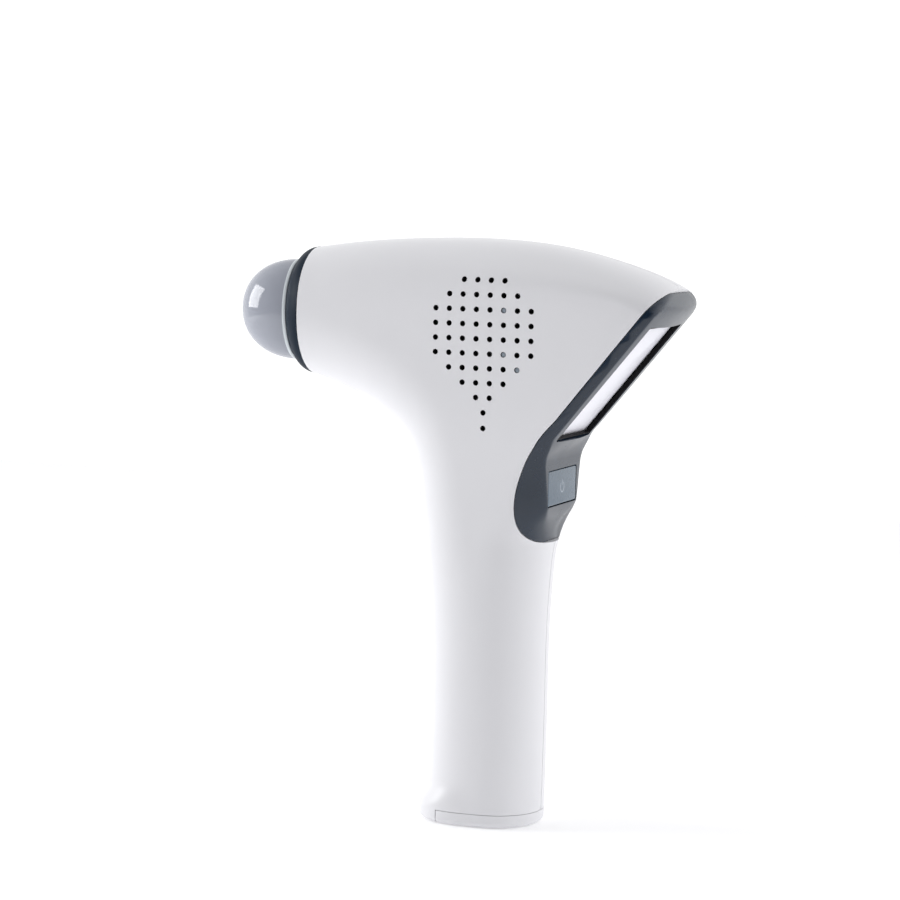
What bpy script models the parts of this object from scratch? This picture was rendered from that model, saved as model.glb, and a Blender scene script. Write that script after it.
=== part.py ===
"""A hand-held pulsed-light hair remover: pistol-shaped two-half housing, pull-out lamp cartridge
with a clear dust cap, rear display bezel with a push key, cooling fan and power electronics.

Frame: metres, +Z up along the handle, nose towards -X, left side towards -Y.
The origin is the centre of the handle's flat base. Sizes below are in millimetres until MM scales them.
"""

import math

import bmesh
import bpy
import numpy as np
from mathutils import Matrix, Vector

MM = 0.001

# ---- driving dimensions, in millimetres -------------------------------------------------------------
GAP = 0.3                      # air between pieces that rest on each other
WALL = 2.6                     # housing wall, measured along a section line
BODY_POWER = 2.1               # superellipse power of the body's sections
MIDDLE_STEPS = 4               # mesh steps between the two rounded ends of a section
NOSE_Z = 172.0                 # height of the lamp axis
NOSE_RZ, NOSE_RY = 22.1, 19.0  # half height and half width of the nose
NOSE_X = -65.9                 # plane where the housing ends and the collar starts
FACE_TILT = math.radians(50.9)   # angle of the display face from the horizontal
FACE_LOW = (28.9, 132.1)       # lower end of the display opening, on the face (x, z)
FACE_LENGTH = 59.1             # from there to the top of the face
FACE_CROWN = 190.0             # radius of the display face across its width
# rounding at the upper end of the face: distance past that end, distance behind the face
TIP = [(8.0, 9.5), (3.2, 5.0), (2.0, 3.2), (0.4, 1.5), (-1.8, 0.4), (-4.5, 0.0)]
BAND = 4.5                     # depth of the dark band behind the display face
KEY_X = 25.1                   # plane of the key's front face
KEY_Z = (110.3, 122.0)         # lower and upper edge of the key
KEY_HALF_WIDTH = 13.7
KEY_TRAVEL = 0.6
WINDOW = (33.6, 50.2)          # opening in the bezel for the display, width and length
FACE_PLATE = 1.7               # thickness of the bezel behind its face
BASE_HEIGHT = 4.3              # height of the base cap
BASE_SPLIT_X = -11.6           # in front of this the housing itself reaches the base
VENT_PITCH = 4.88
VENT_R = 1.0
VENT_ORIGIN = (-13.6, 185.2)   # first column and top row of the vent grid
VENT_ROWS = [(2, 6), (1, 7), (0, 8), (0, 8), (0, 8), (0, 8), (1, 7), (2, 6), (3, 5)]
FAN_CENTRE = (3.5, 163.0)
SCREWS = [(-24.0, 189.0), (49.0, 179.5), (-37.0, 146.0), (-14.8, 84.0), (15.2, 84.0)]

FACE_DIR = Vector((math.cos(FACE_TILT), 0, math.sin(FACE_TILT)))
FACE_OUT = Vector((math.sin(FACE_TILT), 0, -math.cos(FACE_TILT)))

# Sections of the body, each in a plane across it: front or underside point, back or top point, half
# width near each of them, and how far from each of them the rounding reaches. Behind the display face
# the back point is virtual: the body is cut off there by the face.
SECTIONS = [
    ((NOSE_X, NOSE_Z - NOSE_RZ), (NOSE_X, NOSE_Z + NOSE_RZ), NOSE_RY, NOSE_RY, NOSE_RZ, NOSE_RZ),
    ((-57.5, 147.4), (-50.0, 196.4), 19.6, 19.6, 22.5, 22.5),
    ((-46.0, 142.9), (-29.0, 198.1), 20.3, 20.5, 23.0, 23.0),
    ((-38.5, 138.1), (-5.0, 198.8), 20.5, 21.4, 23.0, 23.0),
    ((-33.3, 133.8), (22.0, 197.4), 20.2, 22.4, 22.5, 22.0),
    ((-30.6, 130.8), (50.0, 190.5), 20.0, 22.9, 22.0, 15.5),
    ((-29.2, 128.2), (74.0, 179.6), 19.7, 22.9, 21.5, 11.0),
    ((-28.2, 125.6), (70.0, 158.0), 19.3, 23.0, 21.0, 14.0),
    ((-26.8, 121.0), (42.0, 138.5), 18.8, 21.2, 20.5, 16.0),
    ((-25.8, 117.0), (35.0, 123.0), 18.5, 19.4, 20.3, 20.0),
    ((-24.7, 110.5), (33.0, 110.5), 18.2, 18.9, 20.2, 20.0),
    ((-23.8, 104.0), (27.4, 104.0), 18.0, 18.4, 20.2, 20.0),
    ((-23.1, 98.5), (23.3, 98.3), 17.8, 18.0, 20.2, 20.0),
    ((-22.4, 92.0), (22.2, 92.0), 17.6, 17.8, 20.2, 20.0),
    ((-21.0, 80.0), (21.3, 80.0), 17.5, 17.5, 21.0, 21.0),
    ((-19.9, 64.0), (20.7, 64.0), 17.3, 17.3, 21.0, 21.0),
    ((-19.2, 42.0), (20.8, 42.0), 17.2, 17.2, 21.0, 21.0),
    ((-19.3, 24.0), (20.7, 24.0), 17.4, 17.4, 21.0, 21.0),
    ((-19.5, 14.0), (20.6, 14.0), 17.5, 17.5, 21.0, 21.0),
    ((-19.7, 7.0), (20.5, 7.0), 17.6, 17.6, 21.0, 21.0),
    ((-19.8, 0.0), (20.4, 0.0), 17.7, 17.7, 21.0, 21.0),
]
FOOT_ROUND = 2.0               # radius of the edge round the base
FLARE_TOP, FLARE_OUT, FLARE_BACK = 12.5, 3.2, 2.0   # foot flare: height, reach, and x where it fades


# ---- small tools ------------------------------------------------------------------------------------
def clear_scene():
    for old in list(bpy.data.objects):
        bpy.data.objects.remove(old)


def material(name, colour, roughness, metallic=0.0, alpha=1.0):
    made = bpy.data.materials.new(name)
    made.use_nodes = True
    shader = made.node_tree.nodes["Principled BSDF"]
    shader.inputs["Base Color"].default_value = (*colour, 1)
    shader.inputs["Roughness"].default_value = roughness
    shader.inputs["Metallic"].default_value = metallic
    shader.inputs["Alpha"].default_value = alpha
    made.diffuse_color = (*colour, alpha)
    return made


def smoothstep(t):
    t = min(1.0, max(0.0, t))
    return t * t * (3 - 2 * t)


def catmull(rows, steps):
    """Rows of numbers joined by a smooth curve, with that many steps between two rows."""
    rows = [np.array(row, float) for row in rows]
    ends = [2 * rows[0] - rows[1]] + rows + [2 * rows[-1] - rows[-2]]
    made = []
    for i in range(len(rows) - 1):
        a, b, c, d = ends[i : i + 4]
        for k in range(steps):
            t = k / steps
            made.append(0.5 * (2 * b + (c - a) * t + (2 * a - 5 * b + 4 * c - d) * t * t
                               + (3 * b - a - 3 * c + d) * t ** 3))
    return made + [rows[-1]]


def add_object(name, mesh_builder, mat=None, parent=None):
    """An object whose mesh is drawn in millimetres and scaled to metres."""
    bm = bmesh.new()
    mesh_builder(bm)
    bmesh.ops.scale(bm, vec=(MM,) * 3, verts=bm.verts)
    bmesh.ops.recalc_face_normals(bm, faces=bm.faces)
    mesh = bpy.data.meshes.new(name)
    bm.to_mesh(mesh)
    bm.free()
    mesh.shade_smooth()
    mesh.set_sharp_from_angle(angle=math.radians(35))
    made = bpy.data.objects.new(name, mesh)
    bpy.context.scene.collection.objects.link(made)
    if mat:
        mesh.materials.append(mat)
    if parent:
        made.parent = parent
    return made


def helper(obj):
    """Marks an object as a cutter or guide."""
    obj.hide_render = True
    obj.display_type = "WIRE"
    return obj


def boolean(target, other, operation="DIFFERENCE"):
    step = target.modifiers.new(operation.title() + "." + other.name, "BOOLEAN")
    step.operation = operation
    step.object = other
    step.solver = "EXACT"
    helper(other)


def loops_to_mesh(bm, loops, closed=False):
    """Joins loops of equally many points by quads, and caps the ends unless the loops form a ring."""
    rings = [[bm.verts.new(p) for p in loop] for loop in loops]
    pairs = list(zip(rings, rings[1:])) + ([(rings[-1], rings[0])] if closed else [])
    for a, b in pairs:
        for i in range(len(a)):
            j = (i + 1) % len(a)
            bm.faces.new((a[i], a[j], b[j], b[i]))
    if not closed:
        bm.faces.new(rings[0])
        bm.faces.new(rings[-1])


def prism(bm, outline, low, high, axis="Y"):
    """A closed outline pushed along an axis: (x, z) along Y, (x, y) along Z, or (y, z) along X."""
    place = {"X": lambda p, d: (d, p[0], p[1]), "Y": lambda p, d: (p[0], d, p[1]),
             "Z": lambda p, d: (p[0], p[1], d)}[axis]
    loops_to_mesh(bm, [[place(p, d) for p in outline] for d in (low, high)])


def ellipse(ra, rb, steps, centre=(0, 0)):
    return [(centre[0] + ra * math.cos(2 * math.pi * k / steps),
             centre[1] + rb * math.sin(2 * math.pi * k / steps)) for k in range(steps)]


def box(bm, low, high):
    outline = [(low[0], low[1]), (high[0], low[1]), (high[0], high[1]), (low[0], high[1])]
    prism(bm, outline, low[2], high[2], "Z")


def rounded_box_outline(half_a, half_b, radius, steps=3, centre=(0, 0)):
    """Outline of a rectangle with round corners."""
    made = []
    for turn, (sa, sb) in enumerate([(1, 1), (-1, 1), (-1, -1), (1, -1)]):
        for k in range(steps + 1):
            angle = math.pi / 2 * (turn + k / steps)
            made.append((centre[0] + sa * (half_a - radius) + radius * math.cos(angle),
                         centre[1] + sb * (half_b - radius) + radius * math.sin(angle)))
    return made


def nose_loops(profile, steps=36):
    """Elliptic loops round the lamp axis from (x, half height, half width)."""
    return [[(x, y, NOSE_Z + z) for y, z in ellipse(ry, rz, steps)] for x, rz, ry in profile]


# ---- the body's shape -------------------------------------------------------------------------------
def section_loop(front, back, widths, rounds, steps, inset=0.0):
    """One closed loop of the body; inset moves it inwards by a wall thickness."""
    front, back = np.array(front), np.array(back)
    length = np.linalg.norm(back - front)
    along = (back - front) / length
    share = min(1.0, length / sum(rounds))
    near, far = rounds[0] * share, rounds[1] * share
    places = [near * (1 - math.cos(math.pi / 2 * k / steps)) for k in range(steps)]
    places += [near + (length - near - far) * k / MIDDLE_STEPS for k in range(MIDDLE_STEPS)]
    places += [length - far * (1 - math.cos(math.pi / 2 * k / steps)) for k in range(steps, -1, -1)]
    half = []
    for place in places:
        width = widths[0] + (widths[1] - widths[0]) * smoothstep(place / length)
        end, reach = (place, near) if place < near else (length - place, far)
        drop = max(0.0, 1 - end / reach)
        lateral = (width - inset) * max(0.0, 1 - drop ** BODY_POWER) ** (1 / BODY_POWER)
        shift = inset * (1 - 2 * place / length)
        x, z = front + along * (place + shift)
        half.append((x, -lateral, z))
    half[0] = (half[0][0], 0.0, half[0][2])
    half[-1] = (half[-1][0], 0.0, half[-1][2])
    return half + [(x, -y, z) for x, y, z in reversed(half[1:-1])]


def flare(point):
    """Pushes the front of the handle's foot outwards."""
    x, y, z = point
    ridge = FLARE_TOP - 5.5 + 0.28 * (x + 20)
    amount = FLARE_OUT * smoothstep((ridge + 4 - z) / 8) * smoothstep((FLARE_BACK - x) / 20)
    if z > 30 or amount <= 0:
        return point
    out = Vector((x, y, 0)).normalized()
    return (x + out.x * amount, y + out.y * amount, z)


def body_loops(inset=0.0, sub=2, steps=5, below=0.0, ahead=0.0):
    rows = [(*front, *back, *rest) for front, back, *rest in SECTIONS]
    loops = []
    for row in catmull(rows, sub):
        (x0, z0, x1, z1), widths, rounds = row[:4], row[4:6], row[6:]
        loops.append([flare(p) for p in section_loop((x0, z0), (x1, z1), widths, rounds, steps, inset)])
    if ahead:
        loops.insert(0, [(x - ahead, y, z) for x, y, z in loops[0]])
    if below:
        return loops + [[(x, y, z - below) for x, y, z in loops[-1]]]
    foot = loops.pop()
    for k in range(4):
        angle = math.pi / 2 * k / 3
        drawn = FOOT_ROUND * (1 - math.cos(angle))
        loops.append([(x * (1 - drawn / 20), y * (1 - drawn / 17.7), FOOT_ROUND * (1 - math.sin(angle)))
                      for x, y, z in foot])
    return loops


def face_point(s, depth=0.0):
    """(x, z) on the display face, s above its lower end and depth behind it."""
    p = Vector((FACE_LOW[0], 0, FACE_LOW[1])) + FACE_DIR * s - FACE_OUT * depth
    return p.x, p.z


def face_profile(depth=0.0, y=0.0):
    """The rear face from top to chin as (x, z): display face, hollow, key face and chin."""
    low = [(26.6, 129.2), (25.5, 126.6), (KEY_X, 124.3), (KEY_X, 110.0), (24.1, 107.4), (22.7, 104.2),
           (21.9, 100.6), (21.9, 95.0)]
    crown = depth + y * y / (2 * FACE_CROWN)
    end = FACE_LENGTH
    tip = [face_point(end + along, crown + behind) for along, behind in TIP]
    return tip + [face_point(0, crown)] + [(x - depth, z) for x, z in low]


def seam_profile(shift=0.0):
    """The joint between white housing and dark bezel as (x, z), from top to chin."""
    top = [face_point(FACE_LENGTH + 14, BAND), face_point(7.0, BAND)]
    low = [face_point(7.0, BAND), (24.5, 134.6), (21.3, 129.8), (18.3, 124.3), (15.4, 115.8),
           (14.7, 108.0), (16.0, 101.9), (19.2, 98.4), (23.0, 97.3), (27.0, 97.1)]
    low = [tuple(place) for place in catmull(low, 3)]
    moved = [(x + shift * 0.8, z - shift * 0.5) for x, z in top[:1]]
    line = top[:1] + low
    for i, (x, z) in enumerate(low):
        before, after = line[i], low[min(i + 1, len(low) - 1)]
        run = Vector((after[0] - before[0], after[1] - before[1])).normalized()
        moved.append((x - run.y * shift, z + run.x * shift))
    return moved


def behind_region(profile):
    """Closes a rear profile round everything behind it."""
    (x0, z0), (x1, z1) = profile[0], profile[-1]
    return profile + [(x1 + 60, z1), (130, z1), (130, z0)]


# ---- housing, bezel and base ------------------------------------------------------------------------
def body_solid(name, inset=0.0, **options):
    return helper(add_object(name, lambda bm: loops_to_mesh(bm, body_loops(inset, **options))))


def region_cutter(name, profile, reach=40):
    """Everything behind a profile; the profile may be a function of y."""
    if not callable(profile):
        return helper(add_object(name, lambda bm: prism(bm, behind_region(profile), -reach, reach)))
    places = [-reach, -24, -20, -15, -10, -5, 0, 5, 10, 15, 20, 24, reach]
    return helper(add_object(name, lambda bm: loops_to_mesh(bm, [
        [(x, y, z) for x, z in behind_region(profile(min(24, abs(y))))] for y in places])))


def vents():
    """(x, z) of each vent hole: a round field of rows with a short tail under it."""
    made = []
    for row, (first, end) in enumerate(VENT_ROWS):
        for column in range(first, end):
            made.append((VENT_ORIGIN[0] + column * VENT_PITCH, VENT_ORIGIN[1] - row * VENT_PITCH))
    middle = VENT_ORIGIN[0] + 3.55 * VENT_PITCH
    tail = VENT_ORIGIN[1] - len(VENT_ROWS) * VENT_PITCH
    return made + [(middle, tail - 0.1), (middle, tail - 0.1 - 1.07 * VENT_PITCH)]


def cylinders(bm, places, radius, low, high, sides):
    """Cylinders along Y at (x, z) places."""
    for place in places:
        prism(bm, ellipse(radius, radius, sides, place), low, high, "Y")


def make_housing(side, mats):
    """One half of the housing; side is -1 for the left half and 1 for the right."""
    name = "left_housing" if side < 0 else "right_housing"
    shell = add_object(name, lambda bm: loops_to_mesh(bm, body_loops()), mats["white"])
    boolean(shell, body_solid("cut_inside_" + name, WALL, below=5, ahead=5))
    bosses = add_object("bosses_" + name, lambda bm: cylinders(
        bm, SCREWS, 2.7, *sorted((side * 0.4, side * 26.0)), 12))
    boolean(bosses, bpy.data.objects["body_core"], "INTERSECT")
    if side < 0:
        boolean(bosses, add_object("screw_pilots", lambda bm: cylinders(bm, SCREWS, 1.5, -7.5, 2.0, 8)))
    half = add_object("half_" + name, lambda bm: box(
        bm, (-110, min(side * -60, side * GAP / 2), -10), (110, max(side * -60, side * GAP / 2), 230)))
    boolean(shell, half)
    boolean(shell, bosses, "UNION")
    if side > 0:
        boolean(shell, add_object("screw_wells", lambda bm: turned(
            bm, SCREWS, [(-2.0, 1.5), (4.0, 1.5), (4.0, 2.2), (40.0, 2.2)], 10)))
    boolean(shell, bpy.data.objects["region_behind_seam"])
    boolean(shell, add_object("cap_room_" + name, lambda bm: box(
        bm, (BASE_SPLIT_X, -40, -5), (60, 40, BASE_HEIGHT + GAP))))
    boolean(shell, add_object("vent_cut_" + name, lambda bm: cylinders(
        bm, vents(), VENT_R, *sorted((side * 11.0, side * 40.0)), 6)))
    return shell


def turned(bm, places, profile, sides):
    """Turned pieces along Y at (x, z) places, from (y, radius)."""
    for x, z in places:
        loops_to_mesh(bm, [[(x + a, y, z + b) for a, b in ellipse(r, r, sides)] for y, r in profile])


def make_screws(mats):
    for number, place in enumerate(SCREWS, 1):
        add_object(f"housing_screw_{number}", lambda bm, place=place: turned(
            bm, [place], [(5.9, 0.7), (5.9, 1.9), (4.3, 1.9), (4.3, 1.15), (-5.8, 1.15), (-6.6, 0.5)], 10),
            mats["steel"])


def make_bezel(mats):
    bezel = add_object("rear_bezel", lambda bm: loops_to_mesh(bm, body_loops()), mats["slate"])
    region = region_cutter("region_bezel", seam_profile(GAP))
    boolean(bezel, region, "INTERSECT")
    boolean(bezel, region_cutter("region_behind_face", lambda y: face_profile(0.0, y)))
    cavity = body_solid("bezel_cavity", WALL - 0.2)
    boolean(cavity, region_cutter("region_behind_plate", lambda y: face_profile(FACE_PLATE, y)))
    boolean(bezel, cavity)
    window = add_object("window_cut", lambda bm: prism(
        bm, rounded_box_outline(WINDOW[1] / 2, WINDOW[0] / 2, 1.0), -6, 6, "Z"))
    place_on_face(window, WINDOW[1] / 2, 0)
    boolean(bezel, window)
    low, high = KEY_Z
    boolean(bezel, add_object("key_cut", lambda bm: box(
        bm, (KEY_X - 8, -KEY_HALF_WIDTH - GAP, low - GAP), (KEY_X + 8, KEY_HALF_WIDTH + GAP, high + GAP))))
    return bezel


def place_on_face(obj, s, depth):
    """Puts an object drawn flat (length along X, width along Y, out along Z) on the display face."""
    x, z = face_point(s, depth)
    turn = Matrix((FACE_DIR, Vector((0, -1, 0)), FACE_OUT)).transposed().to_4x4()
    obj.matrix_world = Matrix.Translation(Vector((x, 0, z)) * MM) @ turn
    return obj


def make_base(mats):
    """Base cap: the foot of the body behind the split, and a plug inside the housing's front wall."""
    cap = add_object("base_cap", lambda bm: loops_to_mesh(bm, body_loops()), mats["white"])
    boolean(cap, add_object("foot_slab", lambda bm: box(
        bm, (BASE_SPLIT_X + GAP, -40, -5), (60, 40, BASE_HEIGHT))), "INTERSECT")
    inner = body_loops(WALL + GAP)[-1]
    plug = add_object("base_plug", lambda bm: loops_to_mesh(bm, [
        [(x, y, z - 1) for x, y, z in inner], [(x, y, z + BASE_HEIGHT) for x, y, z in inner]]))
    boolean(plug, add_object("plug_slab", lambda bm: box(bm, (-60, -40, 0), (BASE_SPLIT_X + 2, 40, 9))),
            "INTERSECT")
    boolean(cap, plug, "UNION")
    boolean(cap, add_object("inlet_hole", lambda bm: prism(bm, ellipse(4.6, 4.6, 20, JACK), -3, 9, "Z")))
    return cap


# ---- inside the nose --------------------------------------------------------------------------------
COLLAR = [(-66.2, 22.1, 19.0), (-68.2, 21.6, 18.1), (-70.0, 20.6, 16.8), (-71.6, 19.1, 15.0),
          (-72.6, 17.8, 13.6), (-72.6, 16.8, 12.2), (-60.0, 16.8, 12.2), (-60.0, 19.0, 15.8),
          (-66.2, 19.0, 15.8)]
CAP_APEX = 21.4
CAP_BASE_X = -73.3
CAP_RZ, CAP_RY = 17.5, 13.3
CAP_WALL = 1.5
CAP_POWER = 2.2                # superellipse power of the cap's dome


def dome(inset, steps=7):
    """The cap's dome as (x, half height, half width), from its rim to near its apex."""
    made = []
    for k in range(steps):
        ahead = math.sin(math.pi / 2 * k / steps) ** (2 / CAP_POWER)
        across = math.cos(math.pi / 2 * k / steps) ** (2 / CAP_POWER)
        made.append((CAP_BASE_X - (CAP_APEX - inset) * ahead,
                     (CAP_RZ - inset) * across, (CAP_RY - inset) * across))
    return made + [(CAP_BASE_X - (CAP_APEX - inset) * 0.995, 1.2, 0.9)]


def make_dust_cap(bm):
    rim = [(-72.9, CAP_RZ, CAP_RY), (-72.9, 16.4, 11.8), (-70.6, 16.4, 11.8), (-70.6, 15.3, 10.7),
           (-73.7, 15.3, 10.7)]
    loops_to_mesh(bm, nose_loops(list(reversed(dome(0.0))) + rim + dome(CAP_WALL)[1:], 32))


def make_nose(mats):
    add_object("nose_collar", lambda bm: loops_to_mesh(bm, nose_loops(COLLAR), closed=True), mats["slate"])
    add_object("dust_cap", make_dust_cap, mats["smoke"])
    shell = [(-69.9, 16.3, 11.7), (-43.0, 16.3, 11.7), (-43.0, 0.8, 0.6), (-44.6, 0.8, 0.6),
             (-44.6, 14.9, 10.3), (-69.9, 14.9, 10.3)]
    add_object("cartridge_body", lambda bm: loops_to_mesh(bm, nose_loops(shell, 28), closed=True),
               mats["black"])
    frame = add_object("window_frame", lambda bm: loops_to_mesh(bm, nose_loops(
        [(-73.6, 14.0, 9.4), (-73.0, 14.8, 10.2), (-70.2, 14.8, 10.2)], 28)), mats["black"])
    boolean(frame, add_object("frame_window", lambda bm: prism(
        bm, rounded_box_outline(5.0, 10.6, 0.8, centre=(0, NOSE_Z)), -80, -60, "X")))
    boolean(frame, add_object("frame_pin_holes", lambda bm: [prism(
        bm, ellipse(1.3, 1.3, 12, (y, NOSE_Z)), -80, -60, "X") for y in (-7.8, 7.8)]))
    add_object("filter_glass", lambda bm: prism(
        bm, rounded_box_outline(5.9, 11.5, 0.6, centre=(0, NOSE_Z)), -69.8, -68.4, "X"), mats["amber"])
    add_object("reflector", make_reflector, mats["mirror"])
    tube = ellipse(2.2, 2.2, 16, (-62.3, 0))
    add_object("flash_tube", lambda bm: prism(bm, tube, NOSE_Z - 10.8, NOSE_Z + 10.8, "Z"), mats["glass"])
    for name, low in (("lower", NOSE_Z - 13.4), ("upper", NOSE_Z + 11.1)):
        add_object(f"tube_electrode_{name}", lambda bm, low=low: prism(
            bm, ellipse(2.0, 2.0, 12, (-62.3, 0)), low, low + 2.3, "Z"), mats["steel"])
    for name, y in (("left", -7.8), ("right", 7.8)):
        def pin(bm, y=y):
            profile = [(-74.8, 0.5), (-74.4, 1.0), (-66.4, 1.0)]
            loops_to_mesh(bm, [[(x, y + a, NOSE_Z + b) for a, b in ellipse(r, r, 10)] for x, r in profile])
        add_object(f"skin_sensor_{name}", pin, mats["steel"])
        add_object(f"sensor_switch_{name}", lambda bm, y=y: box(
            bm, (-65.2, y - 1.4, NOSE_Z - 2.5), (-62.4, y + 1.4, NOSE_Z + 2.5)), mats["black"])
    for name, z in (("lower", NOSE_Z - 8), ("upper", NOSE_Z + 8)):
        add_object(f"cartridge_contact_{name}", lambda bm, z=z: box(
            bm, (-42.7, -0.5, z - 2), (-36.5, 0.5, z + 2)), mats["brass"])


def make_reflector(bm):
    """A parabolic trough round the flash tube, open towards the window."""
    outer, inner = [], []
    for k in range(-6, 7):
        y = k * 5.6 / 6
        outer.append((-57.6 - y * y * 0.31, y))
        inner.append((-58.5 - y * y * 0.31 * 0.98, y * 0.86))
    prism(bm, outer + inner[::-1], NOSE_Z - 10.5, NOSE_Z + 10.5, "Z")


# ---- cooling ----------------------------------------------------------------------------------------
FAN_HALF, FAN_Y = 17.0, (-15.0, -6.0)
LAMP_SOCKET_X = (-41.6, -31.0)


def make_cooling(mats):
    x, z = FAN_CENTRE
    low, high = FAN_Y
    frame = add_object("fan_frame", lambda bm: prism(
        bm, rounded_box_outline(FAN_HALF, FAN_HALF, 3, centre=FAN_CENTRE), low, high), mats["black"])
    boolean(frame, add_object("fan_bore", lambda bm: prism(
        bm, ellipse(15.6, 15.6, 32, FAN_CENTRE), low - 2, high + 2)))
    hub = add_object("fan_hub", lambda bm: prism(
        bm, ellipse(6.0, 6.0, 16, FAN_CENTRE), high - 1.2, high - 0.1))
    spokes = add_object("fan_spokes", lambda bm: box(
        bm, (x - 16.2, high - 1.1, z - 1.2), (x + 16.2, high - 0.2, z + 1.2)))
    cross = add_object("fan_cross", lambda bm: box(
        bm, (x - 1.2, high - 1.05, z - 16.2), (x + 1.2, high - 0.25, z + 16.2)))
    for piece in (hub, spokes, cross):
        boolean(frame, piece, "UNION")
    boolean(frame, add_object("fan_shaft_hole", lambda bm: prism(
        bm, ellipse(1.3, 1.3, 12, FAN_CENTRE), high - 3, high + 3)))
    rotor = add_object("fan_rotor", lambda bm: prism(
        bm, ellipse(6.4, 6.4, 20, FAN_CENTRE), low + 0.6, high - 2.0), mats["black"])
    for blade in range(7):
        piece = add_object(f"blade_{blade}", lambda bm, turn=2 * math.pi * blade / 7: make_blade(bm, turn))
        boolean(rotor, piece, "UNION")
    boolean(rotor, add_object("rotor_hole", lambda bm: prism(
        bm, ellipse(1.3, 1.3, 12, FAN_CENTRE), low - 3, high + 3)))
    add_object("fan_shaft", lambda bm: prism(
        bm, ellipse(1.0, 1.0, 12, FAN_CENTRE), low + 0.4, high + 0.3), mats["steel"])
    comb = [(-28.5, -10.0), (-28.5, 10.0)]
    for fin in range(6):
        y = 10.0 - fin * 3.6
        comb += [(-18.5, y), (-18.5, y - 1.6), (-26.0, y - 1.6), (-26.0, y - 3.6)] if fin < 5 else [
            (-18.5, y), (-18.5, -10.0)]
    add_object("heat_sink", lambda bm: prism(bm, comb, NOSE_Z - 11, NOSE_Z + 11, "Z"), mats["aluminium"])
    socket = add_object("lamp_socket", lambda bm: box(
        bm, (LAMP_SOCKET_X[0], -6, NOSE_Z - 13), (LAMP_SOCKET_X[1], 6, NOSE_Z + 13)), mats["black"])
    boolean(socket, add_object("socket_slots", lambda bm: [box(
        bm, (LAMP_SOCKET_X[0] - 3, -1.1, z - 2.6), (-35.8, 1.1, z + 2.6)) for z in (NOSE_Z - 8, NOSE_Z + 8)]))


def make_blade(bm, turn):
    """One pitched blade of the fan, from inside the hub to the tip."""
    x, z = FAN_CENTRE
    low, high = FAN_Y
    points = []
    for radius in (5.6, 14.6):
        for y, lead in ((low + 1.2, -0.20), (high - 2.6, 0.20)):
            for thick in (-0.45, 0.45):
                angle = turn + lead * (1.25 if radius < 10 else 0.9)
                side = (-math.sin(angle) * thick, math.cos(angle) * thick)
                points.append((x + radius * math.cos(angle) + side[0], y,
                               z + radius * math.sin(angle) + side[1]))
    v = [bm.verts.new(p) for p in points]
    for face in ((0, 1, 3, 2), (4, 6, 7, 5), (0, 4, 5, 1), (2, 3, 7, 6), (0, 2, 6, 4), (1, 5, 7, 3)):
        bm.faces.new([v[i] for i in face])


# ---- display and key --------------------------------------------------------------------------------
def flat_piece(name, length, width, low, high, mat, corner=1.0, s=None):
    """A plate parallel to the display face, between two depths behind it."""
    made = add_object(name, lambda bm: prism(
        bm, rounded_box_outline(length / 2, width / 2, corner), -high, -low, "Z"), mat)
    return place_on_face(made, WINDOW[1] / 2 if s is None else s, 0)


def make_display(mats):
    width, length = WINDOW
    gasket = flat_piece("display_gasket", length - 2 * GAP, width - 2 * GAP, 0.9, 2.3, mats["rubber"], 0.9)
    hole = add_object("gasket_hole", lambda bm: prism(
        bm, rounded_box_outline(length / 2 - 0.9, width / 2 - 0.9, 0.4), -9, 9, "Z"))
    boolean(gasket, place_on_face(hole, length / 2, 0))
    flat_piece("display_window", length + 0.6, width + 0.6, 2.8, 4.0, mats["screen"])
    flat_piece("display_panel", length - 2, width - 2, 4.3, 6.2, mats["lcd"])
    flat_piece("display_board", length - 4, width - 1, 6.6, 8.2, mats["board"], s=length / 2 + 1)
    low, high = KEY_Z
    middle = (low + high) / 2
    key = add_object("power_key", lambda bm: prism(
        bm, rounded_box_outline(KEY_HALF_WIDTH, (high - low) / 2, 0.8, centre=(0, middle)),
        KEY_X - 2.4, KEY_X, "X"), mats["slate"])
    boolean(key, add_object("key_post", lambda bm: prism(
        bm, ellipse(2.4, 2.4, 12, (0, middle)), KEY_X - 3.6, KEY_X - 1.5, "X")), "UNION")
    add_object("switch_stem", lambda bm: prism(
        bm, ellipse(1.6, 1.6, 12, (0, middle)), KEY_X - 6.0, KEY_X - 3.9, "X"), mats["black"])
    switch = add_object("key_switch", lambda bm: box(
        bm, (KEY_X - 7.9, -3, middle - 3), (KEY_X - 4.7, 3, middle + 3)), mats["steel"])
    boolean(switch, add_object("switch_bore", lambda bm: prism(
        bm, ellipse(1.9, 1.9, 12, (0, middle)), KEY_X - 6.9, KEY_X - 2, "X")))
    add_object("key_board", lambda bm: box(
        bm, (KEY_X - 9.8, -9.5, low - 2), (KEY_X - 8.2, 9.5, high + 1.5)), mats["board"])


# ---- power electronics ------------------------------------------------------------------------------
JACK = (9.0, 0.0)


def lead(name, points, radius, mat):
    """An insulated wire along its own route."""
    curve = bpy.data.curves.new(name, "CURVE")
    curve.dimensions = "3D"
    curve.bevel_depth = radius * MM
    curve.bevel_resolution = 2
    curve.use_fill_caps = True
    route = catmull(points, 4)
    spline = curve.splines.new("POLY")
    spline.points.add(len(route) - 1)
    for point, place in zip(spline.points, route):
        point.co = (*(place * MM), 1)
    made = bpy.data.objects.new(name, curve)
    bpy.context.scene.collection.objects.link(made)
    curve.materials.append(mat)


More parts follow.
